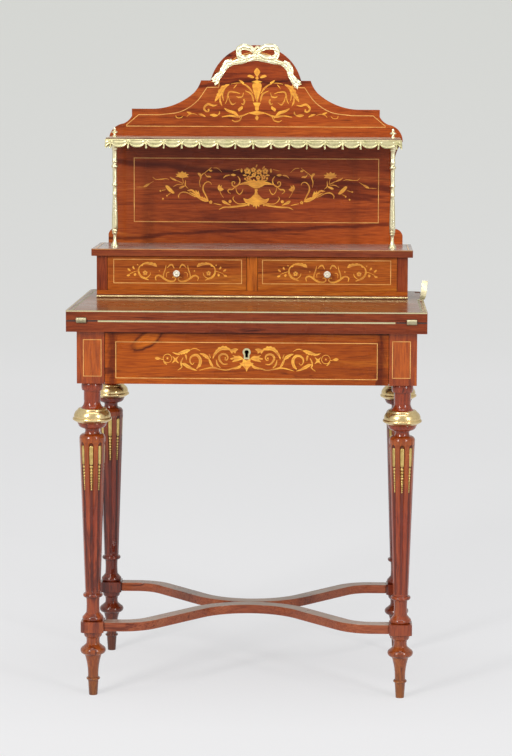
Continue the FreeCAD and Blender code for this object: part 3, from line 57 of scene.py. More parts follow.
class Wire:
    """An output of a shader node; arithmetic on it adds Math nodes to its tree."""

    def __init__(self, tree, socket):
        self.tree, self.socket = tree, socket

    def maths(self, operation, other=0.0):
        return wire(self.tree, "Math", 0, {0: self, 1: other}, operation=operation)

    def __add__(self, other):
        return self.maths("ADD", other)

    def __sub__(self, other):
        return self.maths("SUBTRACT", other)

    def __mul__(self, other):
        return self.maths("MULTIPLY", other)

    def __truediv__(self, other):
        return self.maths("DIVIDE", other)

    def __gt__(self, other):
        return self.maths("GREATER_THAN", other)

    def __lt__(self, other):
        return self.maths("LESS_THAN", other)

    def __abs__(self):
        return self.maths("ABSOLUTE")


def put(node, values):
    """Sets plain values on a node's inputs, or links wires to them; a colour has three numbers."""
    for key, value in values.items():
        socket = node.inputs[key]
        if isinstance(value, Wire):
            value.tree.links.new(value.socket, socket)
        else:
            socket.default_value = (*value, 1) if socket.type == "RGBA" else value


def wire(tree, kind, output, values=None, **settings):
    """An output of a new shader node with these settings and inputs."""
    made = tree.nodes.new("ShaderNode" + kind)
    for key, value in settings.items():
        setattr(made, key, value)
    put(made, values or {})
    return Wire(tree, made.outputs[output])


def ramp(source, *stops):
    """A colour for each level of the source; a stop is a place and a colour or a grey."""
    made = source.tree.nodes.new("ShaderNodeValToRGB")
    bar = made.color_ramp.elements
    while len(bar) < len(stops):
        bar.new(0.5)
    for element, (place, colour) in zip(bar, stops):
        element.position = place
        element.color = (*colour, 1) if isinstance(colour, tuple) else (colour, colour, colour, 1)
    put(made, {0: source})
    return Wire(source.tree, made.outputs[0])


def mapped(tree, scale=(1, 1, 1), location=(0, 0, 0)):
    """Object coordinates, stretched and moved."""
    return wire(tree, "Mapping", 0, {"Vector": wire(tree, "TexCoord", "Object"), "Scale": scale,
                                     "Location": location})


def noise(place, scale, detail, roughness=0.5, distortion=0.0):
    return wire(place.tree, "TexNoise", "Fac", {"Vector": place, "Scale": scale, "Detail": detail,
                                                "Roughness": roughness, "Distortion": distortion})


def blend(mode, factor, first, second):
    """A colour mix of the first, a wire, with the second."""
    return wire(first.tree, "Mix", 2, {0: factor, 6: first, 7: second}, data_type="RGBA", blend_type=mode)


def times(colour, shade, factor=1.0):
    return blend("MULTIPLY", factor, colour, shade)


def length_of(vector):
    return wire(vector.tree, "VectorMath", "Value", {0: vector}, operation="LENGTH")


def parts_of(vector):
    """A vector's three numbers."""
    split = vector.tree.nodes.new("ShaderNodeSeparateXYZ")
    put(split, {0: vector})
    return [Wire(vector.tree, socket) for socket in split.outputs]


def place_in(tree):
    """Object coordinates as three numbers."""
    return parts_of(wire(tree, "TexCoord", "Object"))


def pale_rays(tree):
    """1 for the rays that should see a pale background: camera, glossy and transmission rays."""
    path = tree.nodes.new("ShaderNodeLightPath")
    camera_ray, glossy_ray, through_ray = (
        Wire(tree, path.outputs[name]) for name in ("Is Camera Ray", "Is Glossy Ray", "Is Transmission Ray"))
    return camera_ray.maths("MAXIMUM", glossy_ray).maths("MAXIMUM", through_ray)


def bumped(height, strength, distance):
    """A normal for the shader from a height."""
    return wire(height.tree, "Bump", 0, {"Strength": strength, "Distance": distance, "Height": height})


def new_material(name):
    material = bpy.data.materials.new(name)
    material.use_nodes = True
    return material, material.node_tree, material.node_tree.nodes["Principled BSDF"]


# ---- woods

STRETCH = {"X": (0.07, 1, 1), "Y": (1, 0.07, 1), "Z": (1, 1, 0.07)}


def rosewood(name, grain, tone, figure, seed, contrast=1.0, extra=None, polish=0.45, shine=0.07):
    """Polished rosewood veneer round one colour: streaks along an axis, dark veins, pores, French polish."""
    material, tree, shader = new_material(name)
    dark = tuple(part * (1 - less * contrast) for part, less in zip(tone, (0.58, 0.68, 0.5)))
    light = tuple(part * (1 + more * contrast) for part, more in zip(tone, (0.30, 0.75, 0.9)))
    along = mapped(tree, STRETCH[grain], (seed, seed * 1.7, seed * 0.6))
    broad = noise(along, 20 * figure, 6, 0.6, 1.6)
    colour = ramp(broad, (0.30, dark), (0.45, tone), (0.55, tone), (0.70, light))
    vein = noise(along, 48 * figure, 3, 0.65, 2.8)
    colour = times(colour, ramp(vein, (0.27, (0.22, 0.14, 0.16)), (0.39, 1), (1.0, 1)), 0.9)
    fine = noise(along, 420, 2, 0.5)
    colour = times(colour, ramp(fine, (0.34, (0.70, 0.58, 0.55)), (0.62, (1.10, 1.12, 1.10))), 0.85)
    wide = mapped(tree, location=(seed * 2.1, 0, seed))
    patches = ramp(noise(wide, 3.4, 3), (0.3, (0.78, 0.70, 0.72)), (0.7, (1.18, 1.22, 1.12)))
    colour = times(colour, patches, 0.9)
    rare = noise(along, 9 * figure, 5, 0.62, 3.4)
    streaks = ramp(rare, (0.0, 1), (0.605, 1), (0.655, (0.34, 0.22, 0.30)), (0.70, (0.62, 0.50, 0.55)),
                   (0.76, 1))
    colour = times(colour, streaks, 0.85)
    if extra:
        colour = extra(colour)
    put(shader, {"Base Color": colour, "Roughness": ramp(noise(wide, 14, 4), (0.3, 0.22), (0.7, 0.36)),
                 "Normal": bumped(fine, 0.12, 0.0002), "Specular IOR Level": 0.12, "Coat Weight": polish,
                 "Coat Roughness": shine})
    return material


def swirl(colour, middle, half, tilt):
    """A knot in the veneer: a dark wavering, broken ring round a lighter heart."""
    tree, heart = colour.tree, (1.35, 1.6, 1.5)
    place = wire(tree, "Mapping", 0, {"Vector": wire(tree, "TexCoord", "Object"),
                                      "Location": (middle[0], 0, middle[1]), "Rotation": (0, tilt, 0),
                                      "Scale": (half[0], 1, half[1])}, vector_type="TEXTURE")
    place = wire(tree, "VectorMath", 0, {0: place, 1: (1, 0, 1)}, operation="MULTIPLY")
    ring = length_of(place) + noise(place, 1.3, 3) * 0.5
    shade = ramp(ring * 0.5, (0.0, heart), (0.40, heart), (0.54666667, (0.16, 0.08, 0.12)),
                 (0.64, (0.9, 0.85, 0.85)), (0.75, 1))
    return times(colour, shade, ramp(noise(place, 0.9, 2), (0.38, 0.4), (0.56, 1)))


def dust_and_sheen(bloom, strength):
    """Upward faces greyed in soft patches: partly dust and wear, partly a painted sheen of reflected light.
    """
    def change(colour):
        tree = colour.tree
        patches = ramp(noise(mapped(tree, (0.5, 1, 1)), 26, 5, 0.65), (0.30, 0.35), (0.68, 1))
        upward = parts_of(wire(tree, "NewGeometry", "Normal"))[2] > 0.7
        # dust mixed with painted sheen: upward faces blended towards the grey
        return blend("MIX", upward * strength * patches, colour, bloom)
    return change


# in metres: a leg's axis, the shaft's foot with its radius there and growth, the flutes' span, the post's
# lower end and the field inside its stringing
LEG_X, LEG_Y = 0.304, 0.183
SHAFT_FOOT, FOOT_RADIUS, SHAFT_GROWTH = 0.2043, 0.015, 0.03375
FLUTED, POST_FROM = (0.2065, 0.508), 0.6245
FIELD_X, FIELD_Z = (0.2834, 0.318), (0.6397, 0.7112)


def leg_wood(colour):
    """A leg's changes of colour: painted shade in the flutes, veneered posts, darker rear legs, worn feet."""
    x, y, z = place_in(colour.tree)
    aside = wire(colour.tree, "CombineXYZ", 0, {0: abs(x) - LEG_X, 1: abs(y) - LEG_Y})
    # painted shade in the flutes: the deeper a point lies below the shaft's outline, the darker it is
    depth = ((z - SHAFT_FOOT) * SHAFT_GROWTH + FOOT_RADIUS - length_of(aside)) * 250
    painted_flute_shade = ramp(depth, (0.03, 1), (0.22, (0.62, 0.48, 0.46)), (0.8, (0.30, 0.17, 0.17)))
    colour = times(colour, painted_flute_shade, (z > FLUTED[0]) * (z < FLUTED[1]) * 0.9)
    colour = times(colour, ramp(y * 2 + 0.5, (0.4, 1), (0.6, (0.62, 0.50, 0.62))))
    colour = times(colour, ramp(
        z, (0.0, (0.95, 2.3, 1.5)), (0.06, (1.05, 1.9, 1.6)), (0.14, (1.0, 1.35, 1.5)),
        (0.36, (1.1, 1.12, 1)), (0.45, (1.35, 1.9, 0.6)), (0.51, (1.5, 2.5, 0.5)), (0.53, (1.1, 1.2, 1))))
    veneer = times(colour, (1.52, 2.2, 0.50))
    sideways = abs(x)
    inside = (sideways > FIELD_X[0]) * (sideways < FIELD_X[1]) * ((z > FIELD_Z[0]) * (z < FIELD_Z[1]))
    veneer = blend("MIX", inside, times(veneer, (0.74, 0.60, 0.85)), veneer)
    return blend("MIX", z > POST_FROM, colour, veneer)


def panel_wood(colour):
    """The back panel: tones by height and side, a painted shadow under the shelf, and three long dark streaks
    that waver.
    """
    x, _, z = place_in(colour.tree)
    # tone by height; the dark stops at 0.722 and 0.745 are a painted shadow of the shelf on the panel
    colour = times(colour, ramp(
        z * 0.7, (0.60, (1.26, 1.30, 1.0)), (0.66, (1.12, 1.1, 1.0)), (0.722, (0.92, 0.88, 1.0)),
        (0.745, (0.72, 0.64, 0.94)), (0.775, (1.20, 1.22, 0.75)), (0.83, (1.10, 1.06, 0.75)),
        (0.88, (0.92, 0.82, 0.80))))
    colour = times(colour, ramp(x + 0.5, (0.25, (1.02, 1.1, 0.95)), (0.5, 1), (0.8, (1.22, 1.25, 1.0))))
    waver = (noise(mapped(colour.tree, (0.3, 1, 1)), 22, 4, 0.6) - 0.5) * 0.030
    for level, slope, half in ((1.0150, -0.095, 0.0055), (0.8975, 0.055, 0.0030), (1.2100, 0.050, 0.0022)):
        away = abs(z - (x * slope + level) + waver)
        streak = ramp(away / (half * 2), (0.0, (0.30, 0.20, 0.30)), (0.35, (0.40, 0.28, 0.38)), (0.9, 1))
        colour = times(colour, streak, 0.85)
    return colour


def frieze_wood(colour):
    """The frieze: a knot on the left, a painted shadow along the top edge, redder to the right, blotches by
    the ends.
    """
    colour = swirl(colour, (-0.193, 0.712), (0.040, 0.0165), -0.60)
    x, _, z = place_in(colour.tree)
    # painted shadow: the top few millimetres of the drawer front darkened, for the shaded gap under the board
    under_top = (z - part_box("drawer_front")[1][2]) * -100
    colour = times(colour, ramp(under_top, (0.18, (0.22, 0.15, 0.16)), (0.46, 1)))
    colour = times(colour, ramp(x + 0.5, (0.25, (0.98, 0.98, 1)), (0.55, (0.92, 0.90, 1)),
                                (0.72, (0.74, 0.68, 0.8)), (0.80, (0.72, 0.62, 0.8))))
    ragged = noise(mapped(colour.tree, (1, 1, 0.22)), 60, 4, 0.6, 1.2)
    band = (abs(x) + (ragged * 0.03 - 0.015)) * 2
    blotch = ramp(band, (0.500, 1), (0.515, (0.30, 0.18, 0.26)), (0.527, (0.34, 0.22, 0.3)), (0.545, 1))
    return times(colour, blotch, 0.85)


def inlay_wood(name, dark, light, rough=0.3):
    """Satinwood and other pale inlays: short soft grain and warmer, darker patches."""
    material, tree, shader = new_material(name)
    tone = ramp(noise(mapped(tree, (0.25, 1, 1)), 160, 4, 0.6, 0.6), (0.3, dark), (0.62, light))
    shade = ramp(noise(mapped(tree), 45, 3), (0.35, (0.80, 0.70, 0.62)), (0.6, (1.05, 1.04, 1.02)))
    put(shader, {"Base Color": times(tone, shade, 0.9), "Roughness": rough, "Coat Weight": 0.5,
                 "Coat Roughness": 0.12})
    return material


def plain_wood(name, dark, light):
    """Waxed oak for the drawer linings and runners."""
    material, tree, shader = new_material(name)
    rings = ramp(noise(mapped(tree, (0.06, 1, 1)), 60, 6, 0.6, 1.5), (0.35, dark), (0.62, light))
    fine = noise(mapped(tree, (0.03, 1, 1)), 500, 2)
    pores = ramp(fine, (0.36, (0.6, 0.5, 0.42)), (0.46, 1))
    put(shader, {"Base Color": times(rings, pores, 0.7), "Roughness": 0.55,
                 "Normal": bumped(fine, 0.3, 0.0003)})
    return material


# ---- metal, leather, bone

def gilt(name, bright, dull, rough=(0.24, 0.42), relief=0.12, scale=60.0):
    """Brass with soft wear: lighter on rubbed places, duller and rougher where it has tarnished."""
    material, tree, shader = new_material(name)
    wide = mapped(tree)
    cloud = noise(wide, scale, 5, 0.6, 0.4)
    spots = noise(wide, scale * 9, 3, 0.6)
    tone = ramp(cloud, (0.32, dull), (0.62, bright))
    marks = ramp(spots, (0.30, (0.70, 0.64, 0.55)), (0.48, 1))
    put(shader, {"Base Color": times(tone, marks, 0.6), "Metallic": 1.0,
                 "Roughness": ramp(cloud, (0.3, rough[1]), (0.65, rough[0])),
                 "Normal": bumped(spots, relief, 0.0004)})
    return material


def leather_sheet(name, dark, light):
    """Smooth desk leather: fine pebbled grain, soft patches of wear."""
    material, tree, shader = new_material(name)
    wide = mapped(tree)
    cells = wire(tree, "TexVoronoi", "Distance", {"Scale": 900.0, "Vector": wide}, feature="DISTANCE_TO_EDGE")
    tone = ramp(noise(wide, 9, 5, 0.6), (0.35, dark), (0.68, light))
    creases = ramp(cells, (0.0, (0.72, 0.7, 0.7)), (0.16, 1))
    put(shader, {"Base Color": times(tone, creases, 0.7), "Roughness": 0.46,
                 "Normal": bumped(cells, 0.25, 0.0004)})
    return material


def pearl(name):
    """Polished bone with a pearly bloom: pale, faintly green and pink patches."""
    material, tree, shader = new_material(name)
    tone = ramp(noise(mapped(tree), 220, 4, 0.6, 1.2),
                (0.3, (0.62, 0.60, 0.44)), (0.5, (0.86, 0.82, 0.66)), (0.7, (0.92, 0.90, 0.80)))
    put(shader, {"Base Color": tone, "Roughness": 0.22, "Subsurface Weight": 0.15,
                 "Subsurface Radius": (0.002, 0.0015, 0.001), "Coat Weight": 0.6})
    return material


# ---- finishes of the CAD pieces

# grain axis, colour, figure, seed, contrast, extra, polish, shine
WOOD_ROWS = {
    "frieze": ("X", (0.43, 0.088, 0.006), 1.0, 0.0, 1.0, frieze_wood, 0.25),
    "panel": ("X", (0.295, 0.052, 0.012), 0.8, 3.1, 1.0, panel_wood, 0.3),
    "case": ("X", (0.41, 0.096, 0.010), 1.1, 5.3, 1.0, None, 0.25),
    "divider": ("Z", (0.56, 0.150, 0.014), 1.1, 2.9, 1.0, None, 0.25),
    "carcase": ("Z", (0.28, 0.052, 0.014), 1.1, 5.9, 1.0, None, 0.3),
    "dark": ("X", (0.19, 0.035, 0.010), 0.9, 7.7),
    # top, case_top, shelf and rail: upward faces greyed, partly by dust and partly by a painted sheen
    "top": ("X", (0.225, 0.040, 0.010), 0.8, 9.2, 0.8, dust_and_sheen((0.24, 0.17, 0.07), 0.45), 0.35, 0.05),
    "case_top": ("X", (0.225, 0.040, 0.010), 0.8, 4.2, 0.8, dust_and_sheen((0.46, 0.41, 0.37), 0.85)),
    "shelf": ("X", (0.33, 0.235, 0.145), 0.8, 1.4, 0.5, dust_and_sheen((0.62, 0.56, 0.44), 0.8)),
    "side": ("Y", (0.33, 0.062, 0.010), 1.0, 4.9),
    "leg": ("Z", (0.285, 0.036, 0.007), 1.3, 6.4, 0.9, leg_wood, 0.9, 0.06),
    "rail": ("X", (0.34, 0.088, 0.036), 1.1, 8.3, 0.6, dust_and_sheen((0.46, 0.39, 0.30), 0.75)),
}
WOOD = {key: rosewood("rosewood_" + key, *row) for key, row in WOOD_ROWS.items()}
SATIN = inlay_wood("satinwood_inlay", (0.74, 0.26, 0.018), (0.99, 0.50, 0.050))
STRING = inlay_wood("satinwood_stringing", (0.72, 0.33, 0.065), (0.86, 0.47, 0.13))
VEIN = inlay_wood("engraved_lines", (0.22, 0.060, 0.012), (0.36, 0.12, 0.022), 0.5)
# painted shade: a near-black inlay for the shadow in gaps
SHADOW = inlay_wood("painted_recess_shade", (0.010, 0.005, 0.004), (0.025, 0.012, 0.008), 0.6)
GALLERY_GILT = gilt("gallery_gilt", (0.80, 0.72, 0.42), (0.50, 0.47, 0.24), (0.30, 0.48), 0.3, 90.0)
BRASS = gilt("gilt_brass", (0.86, 0.74, 0.44), (0.62, 0.50, 0.27))
COLUMN_GILT = gilt("column_gilt", (0.92, 0.84, 0.58), (0.74, 0.66, 0.40), (0.24, 0.34), 0.02, 30.0)
STRIP_BRASS = gilt("strip_brass", (0.80, 0.60, 0.22), (0.50, 0.33, 0.10), (0.26, 0.45), 0.1, 120.0)
COLLAR_BRASS = gilt("collar_brass", (0.84, 0.65, 0.34), (0.68, 0.49, 0.22), (0.22, 0.30), 0.02, 30.0)
LOCK_STEEL = gilt("blackened_steel", (0.035, 0.032, 0.030), (0.015, 0.014, 0.013), (0.5, 0.7), 0.1, 80.0)
EDGE_BRASS = gilt("edge_brass", (0.80, 0.74, 0.46), (0.62, 0.58, 0.34), (0.34, 0.5), 0.05, 50.0)
BOW_GILT = gilt("pale_gilt", (0.95, 0.90, 0.64), (0.78, 0.72, 0.46), (0.32, 0.46), 0.06, 60.0)
LINE = gilt("brass_banding", (0.52, 0.47, 0.30), (0.30, 0.27, 0.17), (0.34, 0.55), 0.1, 40.0)
STEEL = gilt("aged_steel", (0.52, 0.50, 0.47), (0.30, 0.28, 0.25), (0.3, 0.5), 0.1, 80.0)
OAK = plain_wood("waxed_oak", (0.30, 0.17, 0.075), (0.52, 0.34, 0.17))
LEATHER = leather_sheet("desk_leather", (0.10, 0.018, 0.014), (0.22, 0.045, 0.030))
PEARL = pearl("pearly_bone")

WOOD_OF = {name: wood for wood, names in {
    "top": "tabletop writing_leaf rear_deck", "panel": "back_panel", "frieze": "drawer_front",
    "case": "case_bottom left_drawer_front right_drawer_front", "case_top": "case_top", "shelf": "shelf",
    "carcase": "case_side_left case_side_right", "divider": "case_divider", "dark": "apron_back",
    "side": "apron_left apron_right", "rail": "stretcher_front stretcher_rear"}.items()
    for name in names.split()}
FINISH_OF = {"lock_case": LOCK_STEEL, "tabletop_brass_fillet": EDGE_BRASS, "keyhole_escutcheon": EDGE_BRASS,
             "loose_brass_strip": LINE}
SLOTS = {"oak": OAK, "satinwood": STRING, "brass": BRASS, "leather": LEATHER, "bone": PEARL, "steel": STEEL}
for row in frame["record"]["subparts"]:
    name, slot = row["node"], row["material_slot"]
    if name in FINISH_OF:
        finish = FINISH_OF[name]
    elif name.startswith("leg_"):
        finish = COLLAR_BRASS if name.startswith("leg_collar") else WOOD["leg"]
    elif "banding" in name or "hinge" in name and slot == "brass":
        finish = LINE
    else:
        finish = WOOD[WOOD_OF[name]] if slot == "rosewood" else SLOTS[slot]
    nodes[name].data.materials.clear()
    nodes[name].data.materials.append(finish)


def soften(name, width, segments):
    """Worn edges on a CAD piece: its split corners are joined and a narrow bevel runs along them."""
    weld = nodes[name].modifiers.new("join", "WELD")
    weld.merge_threshold = 0.00002
    bevel = nodes[name].modifiers.new("worn_edges", "BEVEL")
    bevel.width = width
    bevel.segments = segments
    bevel.limit_method = "ANGLE"
    bevel.angle_limit = math.radians(35)
    bevel.harden_normals = True


for width, segments, names in (
        (0.0016, 3, "tabletop writing_leaf"),
        (0.0012, 3, "rear_deck case_top back_panel shelf stretcher_front stretcher_rear"),
        (0.0006, 2, "case_bottom case_side_left case_side_right case_divider drawer_front left_drawer_front "
                    "right_drawer_front apron_left apron_right apron_back")):
    for name in names.split():
        soften(name, width, segments)

# ---- camera, light, stage

YAW, PITCH, ROLL = (math.radians(angle) for angle in (-1.157, -5.493, 0.272))
PHOTO_WIDE, PHOTO_HIGH, FOCAL_PIXELS, CENTRE_X, CENTRE_Y = 512, 756, 2358.0, 300, 300
camera_data = bpy.data.cameras.new("camera")
camera = bpy.data.objects.new("camera", camera_data)
scene.collection.objects.link(camera)
turned = Matrix.Rotation(ROLL, 3, "Y") @ Matrix.Rotation(-PITCH, 3, "X") @ Matrix.Rotation(YAW, 3, "Z")
axes = Matrix((turned[0], turned[2], -turned[1])).transposed()
camera.matrix_world = Matrix.Translation((0.1951, -4.7585, 1.2288)) @ axes.to_4x4()
camera_data.sensor_width = 36
camera_data.lens = FOCAL_PIXELS / PHOTO_HIGH * camera_data.sensor_width
camera_data.shift_x = (PHOTO_WIDE / 2 - CENTRE_X) / PHOTO_HIGH
camera_data.shift_y = (CENTRE_Y - PHOTO_HIGH / 2) / PHOTO_HIGH
camera_data.clip_end = 60
scene.camera = camera
scene.view_settings.view_transform = "Standard"


def lamp(name, place, aim, size, power, colour=(1, 1, 1)):
    data = bpy.data.lights.new(name, "AREA")
    data.shape = "RECTANGLE"
    data.size, data.size_y = size
    data.energy = power
    data.color = colour
    thing = bpy.data.objects.new(name, data)
    thing.location = place
    thing.rotation_euler = (Vector(aim) - Vector(place)).to_track_quat("-Z", "Y").to_euler()
    scene.collection.objects.link(thing)


lamp("key", (-2.3, -3.4, 2.7), (0, 0, 0.75), (0.7, 2.4), 108, (1, 0.985, 0.96))
lamp("fill", (2.6, -3.0, 1.9), (0, 0, 0.7), (0.5, 2.4), 56, (0.98, 0.985, 0.99))
lamp("top", (0, -0.4, 3.4), (0, 0, 0.8), (2.6, 1.8), 46)
world = bpy.data.worlds.new("studio")
scene.world = world
world.use_nodes = True
sky = world.node_tree.nodes
put(sky["Background"], {0: (0.80, 0.82, 0.85), 1: 0.25})
pale_wall = wire(world.node_tree, "Background", 0, {"Color": (0.665, 0.675, 0.655), "Strength": 1.0})
mix = {0: pale_rays(world.node_tree), 1: Wire(world.node_tree, sky["Background"].outputs[0]), 2: pale_wall}
put(sky["World Output"], {"Surface": wire(world.node_tree, "MixShader", 0, mix)})


def cyclorama():
    """A pale seamless floor that curves up into the wall behind the desk. Its colour, and the glow that
    camera, glossy and transmission rays mostly see, turn greyer far from the desk: a painted fall-off of
    light.
    """
    half, near, bend, high, radius, steps = 45.0, -45.0, 9.0, 14.0, 3.0, 16
    profile = [(near, 0.0), (bend - radius, 0.0)]
    profile += [(bend - radius + radius * math.sin(a), radius - radius * math.cos(a))
                for a in [math.pi / 2 * k / steps for k in range(1, steps + 1)]]
    profile.append((bend, high))
    mesh = bpy.data.meshes.new("backdrop")
    mesh.from_pydata([(x, y, z) for y, z in profile for x in (-half, half)], [],
                     [(2 * k, 2 * k + 1, 2 * k + 3, 2 * k + 2) for k in range(len(profile) - 1)])
    for polygon in mesh.polygons:
        polygon.use_smooth = True
    thing = bpy.data.objects.new("backdrop", mesh)
    scene.collection.objects.link(thing)
    material, tree, shader = new_material("backdrop_paper")
    x, y, z = place_in(tree)
    # reach grows with distance from the desk; the colour and glow set by it paint a fall-off of light
    reach = (x * x + y * y).maths("SQRT") * 0.07 + z * 0.10
    tone = ramp(reach, (0.0, (0.84, 0.84, 0.855)), (0.33, (0.785, 0.79, 0.795)), (0.8, (0.735, 0.74, 0.73)),
                (1.0, (0.715, 0.72, 0.71)))
    bright = ramp(reach, (0.0, (0.84, 0.84, 0.85)), (0.1, (0.88, 0.88, 0.885)), (0.33, 0.93),
                  (0.8, (0.83, 0.84, 0.80)), (1.0, (0.80, 0.81, 0.79)))
    put(shader, {"Base Color": tone, "Roughness": 0.9, "Specular IOR Level": 0.1})
    # a painted glow: the backdrop shines for camera, glossy and transmission rays though it is no lamp
    glow = wire(tree, "Emission", 0, {"Color": bright, "Strength": 1.0})
    mix = {0: pale_rays(tree) * 0.72, 1: Wire(tree, shader.outputs[0]), 2: glow}
    put(tree.nodes["Material Output"], {"Surface": wire(tree, "MixShader", 0, mix)})
    mesh.materials.append(material)


cyclorama()

# ---- drawing

def pairs(text):
    """Pairs of numbers written as "x,y x,y"."""
    return [tuple(float(number) for number in pair.split(",")) for pair in text.split()]


def read(text):
    """The same as points."""
    return [Vector(pair) for pair in pairs(text)]


def smooth(points, closed=False, steps=5):
    """A Catmull-Rom curve through the points."""
    count = len(points)
    found = []
    for k in range(count if closed else count - 1):
        b, c = points[k], points[(k + 1) % count]
        a = points[k - 1] if k or closed else b * 2 - c
        d = points[(k + 2) % count] if k + 2 < count or closed else c * 2 - b
        for step in range(steps):
            t = step / steps
            found.append(b + (c - a) * (t / 2) + (a * 2 - b * 5 + c * 4 - d) * (t * t / 2)
                         + (b * 3 - a - c * 3 + d) * (t ** 3 / 2))
    if not closed:
        found.append(points[-1].copy())
    return found


def spread(values, count):
    """The values spaced evenly over count places, straight between them."""
    if len(values) == 1:
        return list(values) * count
    found = []
    for k in range(count):
        place = k / (count - 1) * (len(values) - 1)
        first = min(int(place), len(values) - 2)
        found.append(values[first] + (values[first + 1] - values[first]) * (place - first))
    return found


def circle(count):
    """Angles evenly round a circle."""
    return [math.tau * k / count for k in range(count)]


def disc(centre, radius, count=14):
    return [centre + Vector((math.cos(a), math.sin(a))) * radius for a in circle(count)]


SHARPEST, SCALLOP = 0.6, 0.55


def edges(line, widths, closed=False, scallops=(0, 0)):
    """The left and right edges of a band along a flat line, with mitred corners and scalloped sides."""
    left, right = [], []
    count = len(line)
    for k, point in enumerate(line):
        come = point - line[k - 1] if k or closed else line[1] - point
        go = line[(k + 1) % count] - point if k + 1 < count or closed else come
        come, go = come.normalized(), go.normalized()
        along = (come + go).normalized()
        normal = Vector((-along[1], along[0]))
        mitre = 1 / max(SHARPEST, normal.dot(Vector((-come[1], come[0]))))
        half = widths[k] / 2 * mitre
        wave = [1 + SCALLOP * abs(math.sin(math.pi * n * k / max(1, count - 1))) if n else 1
                for n in scallops]
        left.append(point + normal * half * wave[0])
        right.append(point - normal * half * wave[1])
    return left, right


def face_at(origin, across=(1, 0, 0), up=(0, 0, 1), out=(0, -1, 0)):
    """From millimetres across, up and out of a face to metres in the frame."""
    origin, across, up, out = (Vector(v) for v in (origin, across, up, out))
    return lambda a, b, h=0.0: (origin + across * a + up * b + out * h) * MM


def low(node):
    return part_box(node)[0] / MM


def high(node):
    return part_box(node)[1] / MM


class Solid:
    """Collects closed forms into one mesh that rides on a body."""

    def __init__(self, name, body, slot, material, replaces=None):
        self.name, self.body, self.slot, self.material, self.replaces = name, body, slot, material, replaces
        self.verts, self.faces = [], []

    def rings(self, rows, closed=False):
        """A skin over rings of points; the ends are capped, or the last ring joins the first."""
        start, wide, count = len(self.verts), len(rows[0]), len(rows)
        for row in rows:
            self.verts.extend(row)
        for r in range(count if closed else count - 1):
            here, there = start + r * wide, start + (r + 1) % count * wide
            for c in range(wide):
                after = (c + 1) % wide
                self.faces.append((here + c, here + after, there + after, there + c))
        if not closed:
            self.faces.append(tuple(range(start, start + wide)))
            self.faces.append(tuple(range(start + (count - 1) * wide, start + count * wide)))

    def make(self, smooth_angle=None):
        mesh = bpy.data.meshes.new(self.name)
        mesh.from_pydata([tuple(v) for v in self.verts], [], self.faces)
        work = bmesh.new()
        work.from_mesh(mesh)
        bmesh.ops.recalc_face_normals(work, faces=work.faces)
        work.to_mesh(mesh)
        work.free()
        if smooth_angle:
            for polygon in mesh.polygons:
                polygon.use_smooth = True
            mesh.set_sharp_from_angle(angle=math.radians(smooth_angle))
        mesh.materials.append(self.material)
        thing = bpy.data.objects.new(self.name, mesh)
        scene.collection.objects.link(thing)
        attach(thing, self.body)
        if self.replaces:
            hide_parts(self.replaces)


# millimetres out of the face: a slip's underside, the first slip's top, the step to the next, engraved lines
DEEP, PROUD, LAYER, ENGRAVED = -0.2, 0.05, 0.004, 0.5


class Inlay(Solid):
    """Thin slips let into a face, each a hair prouder than the last so that no two share a plane."""

    def __init__(self, name, body, slot, material, face, proud=PROUD):
        super().__init__(name, body, slot, material)
        self.face, self.level = face, proud

    def band(self, line, widths, closed=False, scallops=(0, 0)):
        left, right = edges(line, widths, closed, scallops)
        self.rings([[self.face(*l, self.level), self.face(*r, self.level), self.face(*r, DEEP),
                     self.face(*l, DEEP)] for l, r in zip(left, right)], closed)
        self.level += LAYER

    def patch(self, outline):
        self.rings([[self.face(*p, out) for p in outline] for out in (self.level, DEEP)])
        self.level += LAYER


def slips(name, body, slot, material, face, width, *runs, proud=PROUD, closed=False):
    """Inlaid lines of one width, each through its points."""
    inlay = Inlay(name, body, slot, material, face, proud)
    for run in runs:
        inlay.band([Vector(p) for p in run], [width] * len(run), closed)
    inlay.make()


def ornament(name, body, face, unit, centre, text, rise, weight):
    """Marquetry from lines of "kind sizes points", drawn about a centre and mirrored left to right.

    r band, a and b band scalloped on one side, l leaf outline, s sharp outline, d dot, o ring,
    f flower; a capital letter isn't mirrored, and a line that starts with a space goes on with the
    last one. rise stretches the drawing upwards, weight its bands.
    """
    wood = Inlay(name, body, "satinwood", SATIN, face)
    lines = Inlay(name + "_engraving", body, "satinwood", VEIN, face, ENGRAVED)
    for row in text.replace("\n ", " ").strip().splitlines():
        kind, sizes, drawn = row.split(None, 2)
        heavy = weight if kind.lower() in "rab" else 1.0
        sizes = [float(number) * unit * heavy for number in sizes.split(",")]
        drawn = [Vector(((p[0] - centre[0]) * unit, (centre[1] - p[1]) * unit * rise)) for p in read(drawn)]
        for sign in (1,) if kind.isupper() else (1, -1):
            draw(wood, lines, kind.lower(), sizes, [Vector((p[0] * sign, p[1])) for p in drawn], sign)
    wood.make()
    if lines.verts:
        lines.make()


# widths of the engraved lines along a band and a leaf and round a flower, in millimetres, and the widths
# from which a band and a flower's outline get one
BAND_VEIN, LEAF_VEIN, FLOWER_VEIN, FLOWER_RIM = (0.12, 0.34, 0.3, 0.08), (0.3, 0.3, 0.08), 0.3, 0.32
VEIN_FROM, RIM_FROM, PETALS = 2.2, 4.5, 5


